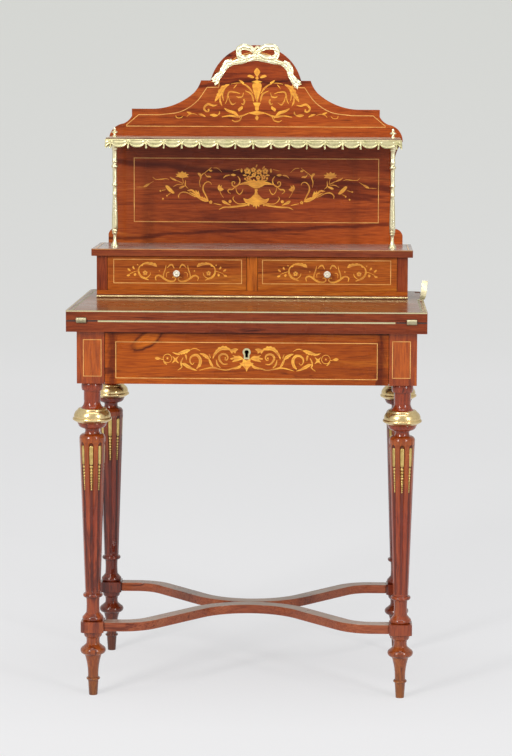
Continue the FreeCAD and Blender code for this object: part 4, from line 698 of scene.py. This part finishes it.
def draw(wood, lines, shape, sizes, points, sign):
    """One shape of an ornament, with its engraved lines."""
    if shape in "rab":
        line = smooth(points, steps=8 if shape != "r" else 6)
        widths = spread(sizes, len(line))
        length = sum((line[k + 1] - line[k]).length for k in range(len(line) - 1))
        lobes = max(2, round(length / max(sizes) * 1.1))
        flip = (shape == "a") == (sign == 1)
        wood.band(line, widths, scallops=(0, 0) if shape == "r" else (lobes, 0) if flip else (0, lobes))
        if max(sizes) > VEIN_FROM:
            middle = line[len(line) // 8: -max(1, len(line) // 6)]
            lines.band(middle, spread(BAND_VEIN, len(middle)))
    elif shape in "ls":
        wood.patch(smooth(points, True, 5) if shape == "l" else points)
        if sizes[0] > 0:
            far = max(points, key=lambda p: (p - points[0]).length)
            lines.band([points[0].lerp(far, t) for t in (0.12, 0.45, 0.8)], LEAF_VEIN)
    elif shape == "d":
        for point in points:
            wood.patch(disc(point, sizes[0]))
    elif shape == "o":
        wood.band(disc(points[0], sizes[0], 32), [sizes[1]] * 32, closed=True)
    elif shape == "f":
        heart, radius = points[0], sizes[0]
        for a in circle(PETALS):
            wood.patch(disc(heart + Vector((math.sin(a), math.cos(a))) * radius * 0.56, radius * 0.43, 12))
        lines.band(disc(heart, radius * 0.2, 10), [FLOWER_VEIN] * 10, closed=True)
        if radius > RIM_FROM:
            rim = [(a, radius * (0.80 + 0.17 * math.cos(PETALS * a))) for a in circle(40)]
            lines.band([heart + Vector((math.sin(a), math.cos(a))) * reach for a, reach in rim],
                       [FLOWER_RIM] * len(rim), closed=True)


# ---- stringing

FRIEZE_FRONT, SMALL_FRONT, PANEL_FRONT = (
    low(name)[1] for name in ("drawer_front", "left_drawer_front", "back_panel"))
DRAWERS = ((-1, "left_drawer"), (1, "right_drawer"))
STRINGS_WIDE = 1.5


def stringing(name, body, front, width, *lines):
    """Closed lines of satinwood."""
    slips(name, body, "satinwood", STRING, face_at((0, front, 0)), width, *lines, closed=True)


def box(x_low, z_low, x_high, z_high):
    return (x_low, z_low), (x_high, z_low), (x_high, z_high), (x_low, z_high)


stringing("post_stringing", "root", FRIEZE_FRONT, 1.4, box(-318.0, 639.7, -283.4, 711.2),
          box(283.4, 639.7, 318.0, 711.2))
stringing("frieze_stringing", "frieze_drawer", FRIEZE_FRONT, STRINGS_WIDE, box(-254.8, 636.6, 253.8, 707.2))
for body, x_low, x_high in (("left_drawer", -283.0, -21.4), ("right_drawer", 21.4, 283.0)):
    stringing(body + "_stringing", body, SMALL_FRONT, STRINGS_WIDE, box(x_low, 800.3, x_high, 848.7))
half = read("-272,1116.6 -272,1119 -246.5,1140.4 -202.4,1140.6")
half += smooth(read("-202.4,1140.6 -159.1,1147 -125.6,1167.5 -102.2,1198.5"), steps=6)[1:]
half += read("-78.5,1198.7")
half += [Vector((-77.5 * math.cos(t), 1200.7 + 71.0 * math.sin(t)))
         for t in [math.pi / 2 * k / 14 for k in range(15)]]
stringing("panel_stringing", "root", PANEL_FRONT, STRINGS_WIDE, box(-256.0, 915.6, 259.0, 1049.6),
          half + [Vector((-p[0], p[1])) for p in reversed(half[:-1])])

# ---- marquetry

FRIEZE_ART = """
b 12,44,38,26,8 1262,312 1205,296 1150,289 1095,305 1050,345 1010,400 990,450
l 1 1240,312 1262,345 1285,372 1300,345 1335,368 1345,335 1378,302 1330,288 1285,300
r 8,22,8 1042,468 1058,538 1105,592
r 8,20,26,24,18,14,8 1218,530 1150,532 1095,475 1088,415 1135,378 1195,388 1220,430 1202,468 1168,462
d 13 1182,438
l 1 1448,446 1400,402 1350,406 1288,392 1318,424 1262,440 1268,462 1318,458 1284,496 1340,490 1400,474
L 1 1508,646 1486,600 1452,566 1400,520 1446,502 1452,446 1508,476 1564,446 1570,502 1616,520 1564,566
 1530,600
r 10,32,24,16,12,12,22,14,4 1446,520 1400,572 1340,594 1290,600 1200,624 1100,612 1000,590 900,600 780,632
d 19 1392,580
r 8,28,24,3 1002,590 966,540 940,484 918,434
a 6,36,32,22,5 938,456 902,426 870,402 830,382 788,370
r 14,12,2 952,440 942,410 932,372
r 5,10,10,4 792,330 742,301 695,295 648,312
a 5,34,42,36,28,20,4 646,316 600,326 560,341 520,354 480,368 440,379 368,356
r 22,20,3 568,392 578,430 582,478
r 8,18,20,14,4 532,436 503,494 500,540 508,586 448,634
r 12,34,38,36,32,26,22,18,14,10,6 736,606 778,562 797,500 788,446 748,402 698,400 656,424 636,470 645,516
 674,541 702,512
l 1 512,532 560,520 620,556 680,598 748,634 690,630 640,614 580,590
s 0 410,448 364,410 390,466 358,527 410,494 466,527 434,468 464,412
d 9 410,470
o 66,9 290,450
d 14 290,450
r 8,20,8 226,492 250,520 278,546
l 0 182,455 152,434 120,428 96,448 120,470 150,472
r 8,6 226,470 180,456
"""
ornament("frieze_marquetry", "frieze_drawer", face_at((0, FRIEZE_FRONT, 687.6)), unit=0.1265,
         centre=(1508, 355), text=FRIEZE_ART, rise=1.0, weight=1.25)
DRAWER_ART = """
b 8,44,36,28,22,14 1104,304 1062,270 1000,248 900,234 850,239 800,252
l 0 806,250 776,258 762,286 790,296 818,276
d 14 700,265
r 10,28,32,28,24,18,10 932,584 860,553 785,520 735,455 718,380 740,310 792,262
r 6,13,13,6 820,550 900,533 960,480 974,424
f 56 860,435
d 14 1160,390
r 8,20,24,26,28,28,26,20,18,14,10 1092,594 1078,525 1130,488 1190,500 1240,540 1320,590 1400,613 1470,602
 1503,556 1463,519 1430,533
r 8,18,20,16,4 1250,540 1248,480 1260,430 1290,340 1302,266
r 6,22,24,10 1330,324 1380,270 1430,262 1474,337
r 5,11,11,8 1310,520 1308,450 1340,419 1374,422
r 8,8,8,6 700,392 640,410 580,435 530,462
l 0 642,352 628,318 606,292 588,320 608,348
l 0 552,388 522,350 488,346 498,380 528,396
l 0 542,474 505,468 466,495 500,512 532,497
l 0 655,438 673,470 646,503 618,470
"""
for side, body in DRAWERS:
    ornament(body + "_marquetry", body, face_at((side * 153.75, SMALL_FRONT, 820.65)), unit=0.0968,
             centre=(1530, 440), text=DRAWER_ART, rise=1.0, weight=1.35)
PANEL_ART = """
L 0 1425,650 1485,650 1478,700 1490,760 1420,760 1432,700
L 0 1316,486 1300,440 1330,420 1372,452 1400,420 1455,462 1506,424 1540,452 1576,420 1612,436 1600,486
L 1 1240,330 1200,316 1160,338 1196,352 1236,350
L 1 1660,330 1704,316 1748,340 1706,354 1664,350
L 1 1310,330 1336,290 1330,250 1300,296
L 1 1448,170 1476,130 1470,96 1444,132
L 1 1580,196 1606,150 1640,132 1628,176
L 1 1290,478 1620,478 1640,540 1540,606 1455,628 1370,606 1270,540
r 60,50,34,20,5 1330,515 1250,512 1180,520 1120,535 1070,548
F 74 1256,240
F 70 1650,246
F 58 1392,216
F 66 1520,258
F 52 1402,330
F 56 1290,394
F 54 1495,388
F 58 1610,376
D 22 1212,414 1690,402 1560,330 1350,372 1440,280
l 1 1340,470 1262,440 1208,430 1246,462 1302,484
L 1 1455,1084 1428,1010 1340,985 1230,950 1176,850 1260,868 1330,840 1380,790 1420,762 1490,762 1530,790
 1580,840 1650,868 1734,850 1680,950 1570,985 1482,1010
d 20 1290,1000 1400,1015
r 12,30,24,26,20,6 1310,980 1200,1005 1100,1022 900,1046 750,1051 645,1102
r 10,14,12,14,12,4 1232,958 1130,974 1050,965 980,912 948,850 976,806
d 34 885,920
l 1 705,905 760,900 830,950 900,1004 800,985 735,958
r 8,12,8 702,1004 620,985 528,964
f 38 465,938
b 12,44,50,40,30,6 418,914 360,900 300,880 225,846 150,798 -6,716
l 1 232,800 214,740 190,684 172,720 138,672 130,710 80,668 18,656 70,716 130,760 190,800
r 14,20,22,20,16,14,10,6 402,882 350,780 302,680 298,600 330,530 390,488 452,500 482,552
r 5,11,12,12,11,10,4 236,602 220,500 240,420 270,340 330,290 420,220 482,168
l 1 252,420 212,360 176,300 220,290 262,340
l 1 330,296 380,352 440,352 474,384 430,388 372,378
l 0 420,226 470,218 500,244 462,262
r 4,8,8,4 520,180 570,178 620,190 710,272
r 7,8,6 742,834 690,760 660,680
l 1 660,690 620,650 616,600 652,546 670,590 706,560 700,610 748,650 706,684
r 5,16,20,18,8 740,402 768,372 800,350 842,338 884,334
l 1 896,330 950,306 1014,332 956,356
r 7,16,18,20,18,16,14,12,9,6 1050,358 1096,430 1092,510 1052,560 990,592 938,562 926,500 958,478 992,498
 976,530
r 8,18,22,16,10,4 992,602 932,652 870,652 838,682 856,720 902,752
r 6,14,12,14,10,6 1008,606 1030,700 1085,762 1130,730 1152,690 1168,646
r 4,8,5 950,240 1020,222 1092,204
l 1 1134,184 1158,214 1150,262 1128,276 1112,226
"""
WING_ART = """
r 3,8,4 198,636 280,634 362,634
l 1 366,634 410,588 462,560 514,556 480,600 424,630
r 8,6,4 512,556 560,524 604,498
r 4,8,10,14,10,4 578,398 640,450 700,456 800,448 900,440 962,460
l 1 976,398 1040,420 1096,444 1146,486 1084,476 1024,450
r 8,12,12,8 1142,480 1186,500 1230,524 1284,548
r 8,8,8 1266,416 1282,480 1292,544
l 0 1258,424 1180,400 1112,392 1150,360 1112,330 1172,318 1160,280 1222,296 1262,262 1300,298 1352,282
 1352,322 1414,336 1376,366 1412,400 1340,404 1276,424
r 4,12,12,4 1058,622 1130,580 1200,566 1284,570
r 4,14,16,10,4 1338,466 1338,520 1332,570 1356,620 1402,664
l 1 1186,654 1240,610 1332,596 1290,636 1236,664
l 1 876,602 930,596 980,640 1040,700 1084,766 1030,776 960,730 906,670
d 20 760,720 910,830 820,900
r 4,8,8,4 882,690 820,706 790,716
r 4,8,4 1000,778 950,800 916,822
r 5,16,18,16,14,14,12 1188,882 1180,820 1230,762 1310,744 1400,768 1480,812 1570,852
l 1 1380,712 1440,684 1500,700 1450,724
"""
panel_face = face_at((1.5, PANEL_FRONT, 1046.4))
ornament("panel_marquetry", "root", panel_face, unit=0.0968, centre=(1455, 0), text=PANEL_ART, rise=0.98,
         weight=1.4)
ornament("panel_wing_marquetry", "root", panel_face, unit=0.0915, centre=(2970, 0), text=WING_ART, rise=1.0,
         weight=1.4)
CREST_ART = """
L 1 750,380 775,408 790,442 772,480 750,510 728,480 710,442 725,408
l 1 712,512 684,490 650,480 626,500 660,520 700,528
D 20 750,528
S 0 680,580 750,556 820,580 750,600
L 1 748,872 700,700 694,612 750,600 806,612 800,700 752,872
L 0 704,884 750,876 796,884 776,930 770,984 730,984 724,930
S 0 632,1025 750,992 868,1025 750,1058
L 0 750,1062 772,1094 750,1132 728,1094
r 8,16,14,4 704,860 690,782 660,740 598,708
r 6,16,14,6 700,748 662,682 612,632 566,610
l 0 572,614 540,590 520,556 552,566 584,592
r 4,9,5 492,620 474,642 450,674
r 3,7,4 418,612 480,600 542,598
b 6,34,40,34,24,6 396,618 332,660 290,720 262,780 238,820 212,864
r 6,14,12,3 334,684 308,760 312,806 322,856
r 4,16,16,4 282,772 276,830 284,880 304,926
r 3,12,14,10,4 534,750 460,728 390,732 368,832 344,894
r 4,10,14,14,6,3 380,770 400,850 430,902 460,896 484,878
r 4,12,14,4 578,736 562,790 520,802 486,790
r 14,16,12,6 580,828 590,864 575,902 550,890
l 1 562,926 566,964 520,1004 508,970 534,944
l 1 332,956 400,984 470,1004 508,1052 534,1104 480,1060 420,1030 360,998
r 4,18,20,18,16,12,6 242,912 190,922 120,902 72,958 96,1004 132,1002 134,976
d 12 130,980
l 1 0,1042 50,1042 94,1082 40,1070
l 1 146,1056 200,1040 250,1064 200,1082
r 4,14,4 242,1060 268,1036 272,1004
r 8,16,20,16,8 640,1030 560,1066 500,1078 400,1066 300,1084
r 6,12,12,5 560,1066 530,1130 470,1150 430,1126
r 3,7,7,3 -10,1060 -60,1040 -120,1052 -150,1086
l 0 -84,1040 -110,1016 -150,1012 -124,1040
r 3,6,6,4 -196,1070 -230,1100 -280,1096 -290,1060
"""
ornament("crest_marquetry", "root", face_at((2.5, PANEL_FRONT, 1295.4)), unit=0.1640, centre=(750, 0),
         text=CREST_ART, rise=0.893, weight=1.3)

# ---- lines on the tops

LEAF_LOW, LEAF_HIGH = low("writing_leaf"), high("writing_leaf")
DECK_FRONT, DECK_REAR = low("rear_deck")[1], high("rear_deck")[1]
TOP_FACE = face_at((0, 0, LEAF_HIGH[2]), up=(0, 1, 0), out=(0, 0, 1))
END, RIM, CROSSBAND = LEAF_HIGH[0], LEAF_HIGH[0] - 1.9, 343.6
RIM_WIDE, CROSSBAND_WIDE, CROSSBAND_PROUD, ARRIS_WIDE = 1.5, 5.0, 0.03, 2.3


def corner(node):
    """The face through a piece's upper front edge."""
    return face_at((0, low(node)[1], high(node)[2]))


slips("leaf_edge_lines", "writing_leaf", "brass", BRASS, TOP_FACE, RIM_WIDE,
      ((-RIM, LEAF_HIGH[1] - 0.5), (-RIM, LEAF_LOW[1] + 1.9),
       (RIM, LEAF_LOW[1] + 1.9), (RIM, LEAF_HIGH[1] - 0.5)))
slips("leaf_arris_line", "writing_leaf", "brass", EDGE_BRASS, corner("writing_leaf"), ARRIS_WIDE,
      ((-END + 0.6, -1.5), (END - 0.6, -1.5)))
slips("leaf_crossbanding", "writing_leaf", "rosewood", WOOD["dark"], TOP_FACE, CROSSBAND_WIDE,
      *(((side * CROSSBAND, LEAF_LOW[1] + 3.0), (side * CROSSBAND, LEAF_HIGH[1] - 0.6)) for side in SIDES),
      proud=CROSSBAND_PROUD)
slips("deck_edge_lines", "root", "brass", BRASS, TOP_FACE, RIM_WIDE,
      ((-RIM, DECK_FRONT + 0.5), (-RIM, DECK_REAR - 17)))
slips("deck_crossbanding", "root", "rosewood", WOOD["dark"], TOP_FACE, CROSSBAND_WIDE,
      ((-CROSSBAND, DECK_FRONT + 0.6), (-CROSSBAND, DECK_REAR - 18)), proud=CROSSBAND_PROUD)
slips("case_top_arris_line", "root", "satinwood", STRING, corner("case_top"), 0.7,
      ((low("case_top")[0] + 0.6, -1.3), (high("case_top")[0] - 0.6, -1.0)))
# painted shade: dark slips on the board's front edge where the hinge gaps lie in shadow
slips("hinge_recess_painted_shade", "root", "rosewood", SHADOW, corner("tabletop"), ARRIS_WIDE,
      *(((side * inner, -1.2), (side * outer, -1.2)) for side in SIDES
        for inner, outer in ((290, 309), (331, 349))))

# ---- rope, columns, knobs

ROPE_LOW, ROPE_HIGH = low("rope_moulding"), high("rope_moulding")
ROPE_LONG, ROPE_Y, ROPE_Z = ROPE_HIGH[0] - ROPE_LOW[0], ROPE_LOW[1] + 2.5, ROPE_LOW[2] + 3.2
ROPE_PITCH, ROPE_STEPS, STRANDS, STRAND_SIDES, STRAND_OFF, STRAND = 9.0, 12, 3, 8, 1.15, 1.35
rope = Solid("rope_twist", "root", "brass", BRASS, "rope_moulding")
count = int(ROPE_LONG / ROPE_PITCH * ROPE_STEPS) + 1
for strand in range(STRANDS):
    rings = []
    for k in range(count):
        phase = math.tau * (k / ROPE_STEPS + strand / STRANDS)
        middle = Vector((ROPE_LOW[0] + ROPE_LONG * k / (count - 1), ROPE_Y + STRAND_OFF * math.cos(phase),
                         ROPE_Z + STRAND_OFF * math.sin(phase)))
        rings.append([(middle + Vector((0, math.cos(a), math.sin(a))) * STRAND) * MM
                      for a in circle(STRAND_SIDES)])
    rope.rings(rings)
rope.make(50)
# dark wood behind and under the rope; its darkness is partly painted shade for the recess there
plinth = Solid("rope_plinth", "root", "rosewood", WOOD["dark"])
section = ((ROPE_LOW[1] + 3.2, ROPE_LOW[2]), (ROPE_HIGH[1], ROPE_LOW[2]), (ROPE_HIGH[1], ROPE_HIGH[2]),
           (ROPE_LOW[1] + 3.2, ROPE_HIGH[2]), (ROPE_LOW[1] + 3.0, ROPE_LOW[2] + 3))
plinth.rings([[Vector((x, y, z)) * MM for y, z in section] for x in (ROPE_LOW[0], ROPE_HIGH[0])])
plinth.make()


def lathe(solid, place, profile, sides, groove):
    """A turned shape: place(across, up, along) gives its points, groove(angle, along) the cut at each."""
    rings = []
    for along, radius in profile:
        ring = []
        for angle in circle(sides):
            reach = max(0.05, radius - groove(angle, along))
            ring.append(place(reach * math.cos(angle), reach * math.sin(angle), along))
        rings.append(ring)
    solid.rings(rings)


def eased(points):
    """A turned outline with its curves filled in."""
    found, steps = [], 3
    for (a, ra), (b, rb) in zip(points, points[1:]):
        for step in range(steps):
            t = step / steps
            found.append((a + (b - a) * t, ra + (rb - ra) * (3 * t * t - 2 * t ** 3)))
    return found + [points[-1]]


# heights and radii of the brass columns: base, fluted lower shaft, rings, baluster, upper shaft, cap, finial
COLUMN = pairs(
    "870.9,8.4 873.4,8.4 874.2,7.4 876.5,6.6 879.5,4.4 884,3.4 894.5,3.2 896.5,4.6 898.6,5.4 900.4,4.4 "
    "901.6,5.8 904.4,6.3 905.8,5.4 907,6.4 930,6.2 955,5.3 976,4.4 977,5.2 979.4,5.2 980.4,4.4 995,4.3 "
    "996.5,5.9 999,5.9 1000.5,4.4 1008,4.2 1020,4.6 1028,4.3 1032,5 1034.4,6.8 1037.6,6.8 1039.6,4.7 "
    "1043,4.7 1045,5.6 1047.4,5.6 1048.8,4.9 1068,4.7 1070,5.8 1073.6,6.2 1076,7.6 1083,8 1085,7.8 "
    "1085,2.5 1096.1,2.5 1096.1,4.6 1098.4,4.8 1100,2.8 1103.5,2.4 1105.4,6.6 1107.4,6.6 1109.2,2.6 "
    "1111,2.6 1113.2,3 1115.4,1.6 1116,0.2")
FLUTES_FROM, FLUTES_TO, FLUTES_FADE, FLUTES_DEEP, COLUMN_SIDES = 910, 973, 3, 0.5, 40


def column_flutes(angle, along):
    """Shallow flutes on the lower shaft, fading at their ends."""
    fade = min(1.0, (along - FLUTES_FROM) / FLUTES_FADE, (FLUTES_TO - along) / FLUTES_FADE)
    return max(0.0, FLUTES_DEEP * fade * (1 - abs(math.sin(angle * 4))))


for name in ("column_left", "column_right"):
    foot, head = low(name), high(name)
    axis_x, axis_y = (foot[0] + head[0]) / 2, (foot[1] + head[1]) / 2
    column = Solid("turned_" + name, "root", "brass", COLUMN_GILT, name)
    lathe(column, lambda across, up, along: Vector((axis_x + across, axis_y + up, along)) * MM,
          [(min(max(along, foot[2]), head[2]), radius) for along, radius in eased(COLUMN)], COLUMN_SIDES,
          column_flutes)
    column.make(50)

# pearly knobs: a short neck and a petalled rosette round a sunk heart
KNOB = pairs(
    "0,5.4 1.6,5.4 2.4,3.8 5.4,3.2 7.6,4.2 8.8,6.6 10,7.4 12.6,7.4 14,6.6 14.4,5.6 13.7,4.4 13.5,3.4 "
    "14.2,2.2 14.8,0.8")
KNOB_SIDES, PETAL_FROM, PETAL_DEEP = 48, 9.5, 0.45


def petals(angle, along):
    return PETAL_DEEP * abs(math.sin(angle * 4)) if along > PETAL_FROM else 0.0


for _, body in DRAWERS:
    near, far = low(body + "_knob"), high(body + "_knob")
    axis_x, axis_z = (near[0] + far[0]) / 2, (near[2] + far[2]) / 2
    knob = Solid(body + "_rosette_knob", body, "bone", PEARL, body + "_knob")
    lathe(knob, lambda across, up, along: Vector((axis_x + across, SMALL_FRONT - along, axis_z + up)) * MM,
          KNOB, KNOB_SIDES, petals)
    knob.make(50)

# ---- gallery

GALLERY_LOW, GALLERY_HIGH = low("gallery"), high("gallery")
GALLERY_TOP, BAND_LOW = GALLERY_HIGH[2] - 3.4, GALLERY_HIGH[2] - 11.5
SWAG, HALF_SWAG, SAG, TASSEL_HALF, TASSEL_EDGE, BEAD_HALF = 36.7, 16.9, 8.8, 1.9, 0.03, 1.3
STOP_EVERY, DRAPE_ROWS, BACK = 0.9, 18, -0.8


def hanging(offset):
    """How low the lambrequin hangs at a distance from a tassel's middle, and whether the tassel is there."""
    span = abs(offset)
    if span <= TASSEL_HALF:
        return GALLERY_LOW[2], True
    place = (span - SWAG / 2) / HALF_SWAG
    return BAND_LOW - SAG * max(0.0, 1 - abs(place) ** 2.8), False


def drape_relief(offset, z, bottom, tassel):
    """Modelled surface of the lambrequin: a beaded rail, hanging folds and fluted tassels."""
    under = GALLERY_TOP - z
    depth = under / (GALLERY_TOP - bottom)
    if under < 2 * BEAD_HALF:
        return 1.1 * math.sqrt(max(0.0, 1 - ((under - BEAD_HALF) / BEAD_HALF) ** 2))
    if tassel:
        skirt = max(0.0, 1 - (offset / (TASSEL_HALF + 0.5)) ** 2)
        knot = 0.5 * math.exp(-((z - bottom - 8.0) / 1.3) ** 2)
        return 0.5 + 0.7 * math.sqrt(skirt) + knot + 0.18 * math.cos(math.tau * offset / 1.5)
    place = (abs(offset) - SWAG / 2) / HALF_SWAG
    fold = 0.5 + 0.5 * math.cos(math.tau * (2.0 * depth ** 1.3 + 0.30))
    rim = math.exp(-((depth - 0.91) / 0.085) ** 2)
    gather = math.exp(-((abs(offset) - 4.6) / 1.6) ** 2)
    swell = 0.25 + 0.75 * fold * (1 - 0.35 * place * place) * (1 - rim)
    return swell + 1.25 * rim + 0.7 * gather * (1 - depth)


def lambrequin(solid, place, start, length, first, count):
    """A draped strip with tassels every pitch; place(along, out, z) gives its points."""
    steps = int(length / STOP_EVERY)
    stops = {round(start + length * k / steps, 3) for k in range(steps + 1)}
    for k in range(count):
        for edge in (-TASSEL_HALF - TASSEL_EDGE, -TASSEL_HALF, TASSEL_HALF, TASSEL_HALF + TASSEL_EDGE):
            along = first + k * SWAG + edge
            if start < along < start + length:
                stops.add(round(along, 3))
    rows = []
    for along in sorted(stops):
        offset = (along - first + SWAG / 2) % SWAG - SWAG / 2
        if not first - SWAG / 2 <= along <= first + (count - 0.5) * SWAG:
            offset = SWAG / 2
        bottom, tassel = hanging(offset)
        ring = []
        for r in range(DRAPE_ROWS + 1):
            z = GALLERY_TOP + (bottom - GALLERY_TOP) * r / DRAPE_ROWS
            shift = -offset * 0.5 * max(0.0, min(1.0, (z - bottom) / 10.0)) if tassel else 0.0
            ring.append(place(along + shift, drape_relief(offset, z, bottom, tassel), z))
        rows.append(ring + [place(along, BACK, bottom), place(along, BACK, GALLERY_TOP)])
    solid.rings(rows)


gallery = Solid("gilt_lambrequin", "root", "brass", GALLERY_GILT, "gallery")
front_y, half_wide = GALLERY_LOW[1] + 1.2, GALLERY_HIGH[0]
lambrequin(gallery, lambda a, h, z: Vector((a, front_y - h, z)) * MM, -half_wide + 1, 2 * half_wide - 2,
           -SWAG * 8, 17)
for side in SIDES:
    outer = side * (half_wide - 1.2)
    lambrequin(gallery, lambda a, h, z: Vector((outer + side * h, a, z)) * MM, GALLERY_LOW[1] + 0.4,
               GALLERY_HIGH[1] - GALLERY_LOW[1] - 0.4, GALLERY_LOW[1] + 9.4, 4)
gallery.make(60)

# ---- ribbon bow

BOW_FACE = face_at((0, PANEL_FRONT, 1300.4))
BOW_MIDDLE, BOW_UNIT, BOW_RISE, BOW_FULL, BOW_SIDES = 748, 0.1650, 0.1594, 1.28, 12
LOOP_WIDTHS = (36, 58, 62, 62, 58, 54, 62, 70, 64, 36)
# points, widths, height, base, folds and whether the ribbon is closed
BOW = (
    ("450,306 390,330 342,388 314,444 266,498 226,560", (70, 80, 64, 54, 70, 84), 2.2, 0.2, 3),
    ("238,540 212,556 190,560", (50, 30, 4), 2.0, 0.1, 1),
    ("256,556 240,590 226,616", (50, 30, 4), 2.0, 0.1, 1),
    ("1090,318 1150,356 1182,414 1192,480 1236,546 1284,600", (66, 78, 70, 58, 72, 86), 2.2, 0.2, 3),
    ("1270,586 1302,592 1330,592", (54, 30, 4), 2.0, 0.1, 1),
    ("1262,596 1270,630 1280,660", (54, 30, 4), 2.0, 0.1, 1),
    ("440,322 560,292 650,264 750,252 850,266 950,288 1100,326", (40, 66, 62, 60, 62, 66, 40), 2.5, 0.3, 3),
    ("740,186 690,136 640,114 570,112 534,140 530,190 548,240 610,262 690,240 740,204",
     LOOP_WIDTHS, 2.7, 0.5, 2),
    ("756,186 810,134 880,108 950,104 1002,130 1016,186 996,240 936,264 850,244 756,204",
     LOOP_WIDTHS, 2.7, 0.5, 2),
    ("770,108 800,132 796,170 760,182 736,158 742,122", (24, 24, 24), 2.9, 0.6, 1, True),
    ("748,176 752,210 748,262", (44, 54, 30), 2.9, 0.6, 2))


def ribbon(solid, text, widths, height, base, folds, closed=False):
    """A cast ribbon: a band with a rolled section and lengthwise folds."""
    points = [Vector(((p[0] - BOW_MIDDLE) * BOW_UNIT, -p[1] * BOW_RISE)) for p in read(text)]
    line = smooth(points, closed, steps=6)
    left, right = edges(line, spread([w * BOW_UNIT * BOW_FULL for w in widths], len(line)), closed)
    rows = []
    for k, (l, r) in enumerate(zip(left, right)):
        ripple = 1 + 0.20 * math.sin(k * 0.8) + 0.06 * math.sin(k * 2.1 + 1)
        ring = []
        for s in [n / BOW_SIDES for n in range(BOW_SIDES + 1)]:
            dome = max(0.0, 1 - (2 * s - 1) ** 4) ** 0.5
            fold = 0.66 + 0.34 * math.cos(math.tau * (folds * s + 0.15 * math.sin(k * 0.7)))
            p = l.lerp(r, s)
            ring.append(BOW_FACE(p[0], p[1], base + height * dome * fold * ripple))
        rows.append(ring + [BOW_FACE(r[0], r[1]), BOW_FACE(l[0], l[1])])
    solid.rings(rows, closed)


bow = Solid("gilt_ribbon_bow", "root", "brass", BOW_GILT, "ribbon_bow")
for row in BOW:
    ribbon(bow, *row)
bow.make(60)

# ---- flute brasses
# each flute's brass: a round-ended strip flush with the shaft, over beads of shrinking size

SHAFT_LOW, SHAFT_HIGH, SHAFT_RADII = 204.3, 515.4, (15.0, 25.5)
FLUTES, FLUTE_AXIS, FLUTE_SPAN, FLUTE_RADII = 8, 1.6, (210.3, 502.4), (3.2, 5.4)
STRIP_SPAN, STRIP_HALF, STRIP_END, STRIP_DEEP = (463.4, 501.2), (3.15, 3.65), 3.0, 2.75
STRIP_STATIONS = (0.0, 0.02, 0.05, 0.1, 0.5, 0.9, 0.95, 0.98, 1.0)
# the strip's section: parts of its half width to a side, and how far it falls there
STRIP_SECTION = ((-1, 1.6), (-0.8, 0.7), (-0.4, 0.15), (0, 0), (0.4, 0.15), (0.8, 0.7), (1, 1.6))
STRIP_SUNK, STRIP_ROUND, STRIP_FALL, STRIP_FOOT = 0.30, 0.8, 0.045, (0.42, -0.42)
BEADS, BEAD_TOP, BEAD_FIRST, BEAD_LAST, BEAD_SIDES = 10, 462.3, 3.35, 1.65, 10
BEAD_TILTS, BEAD_SUNK, BEAD_FLAT = (-78, -50, -20, 20, 50, 78), 0.30, 0.6


def between(span, place):
    return span[0] + (span[1] - span[0]) * place


def shaft_at(z):
    """The shaft's radius at a height."""
    return between(SHAFT_RADII, (z - SHAFT_LOW) / (SHAFT_HIGH - SHAFT_LOW))


brasses = Solid("flute_brasses", "root", "brass", STRIP_BRASS, "flute_inlays")
for leg in ("leg_front_left", "leg_front_right", "leg_rear_left", "leg_rear_right"):
    axis = (low(leg) + high(leg)) / 2
    for turn in circle(FLUTES):
        outward = Vector((math.cos(turn), math.sin(turn), 0))
        sideways = Vector((-math.sin(turn), math.cos(turn), 0))

        def placed(depth, aside, z):
            """A point at a depth under the shaft's surface in this flute."""
            return (Vector((axis[0], axis[1], z)) + outward * (shaft_at(z) - depth) + sideways * aside) * MM

        rings = []
        for place in STRIP_STATIONS:
            z = between(STRIP_SPAN, place)
            near = min(z - STRIP_SPAN[0], STRIP_SPAN[1] - z)
            narrow = math.sqrt(max(0.05, 1 - max(0.0, 1 - near / STRIP_END) ** 2))
            half = between(STRIP_HALF, place) * narrow
            sunk = STRIP_SUNK + STRIP_ROUND * (1 - narrow)
            crown = [placed(sunk + drop * half * half * STRIP_FALL, half * part, z)
                     for part, drop in STRIP_SECTION]
            rings.append(crown + [placed(STRIP_DEEP, half * part, z) for part in STRIP_FOOT])
        brasses.rings(rings)
        z = BEAD_TOP
        for number in range(BEADS):
            radius = between((BEAD_FIRST, BEAD_LAST), number / (BEADS - 1))
            z -= radius
            floor = between(FLUTE_RADII, (z - FLUTE_SPAN[0]) / (FLUTE_SPAN[1] - FLUTE_SPAN[0]))
            deep = floor - FLUTE_AXIS - radius * BEAD_SUNK
            brasses.rings([[placed(deep - math.cos(a) * math.cos(tilt) * radius * BEAD_FLAT,
                                   math.sin(a) * math.cos(tilt) * radius, z + math.sin(tilt) * radius)
                            for a in circle(BEAD_SIDES)] for tilt in map(math.radians, BEAD_TILTS)])
            z -= radius
brasses.make(60)
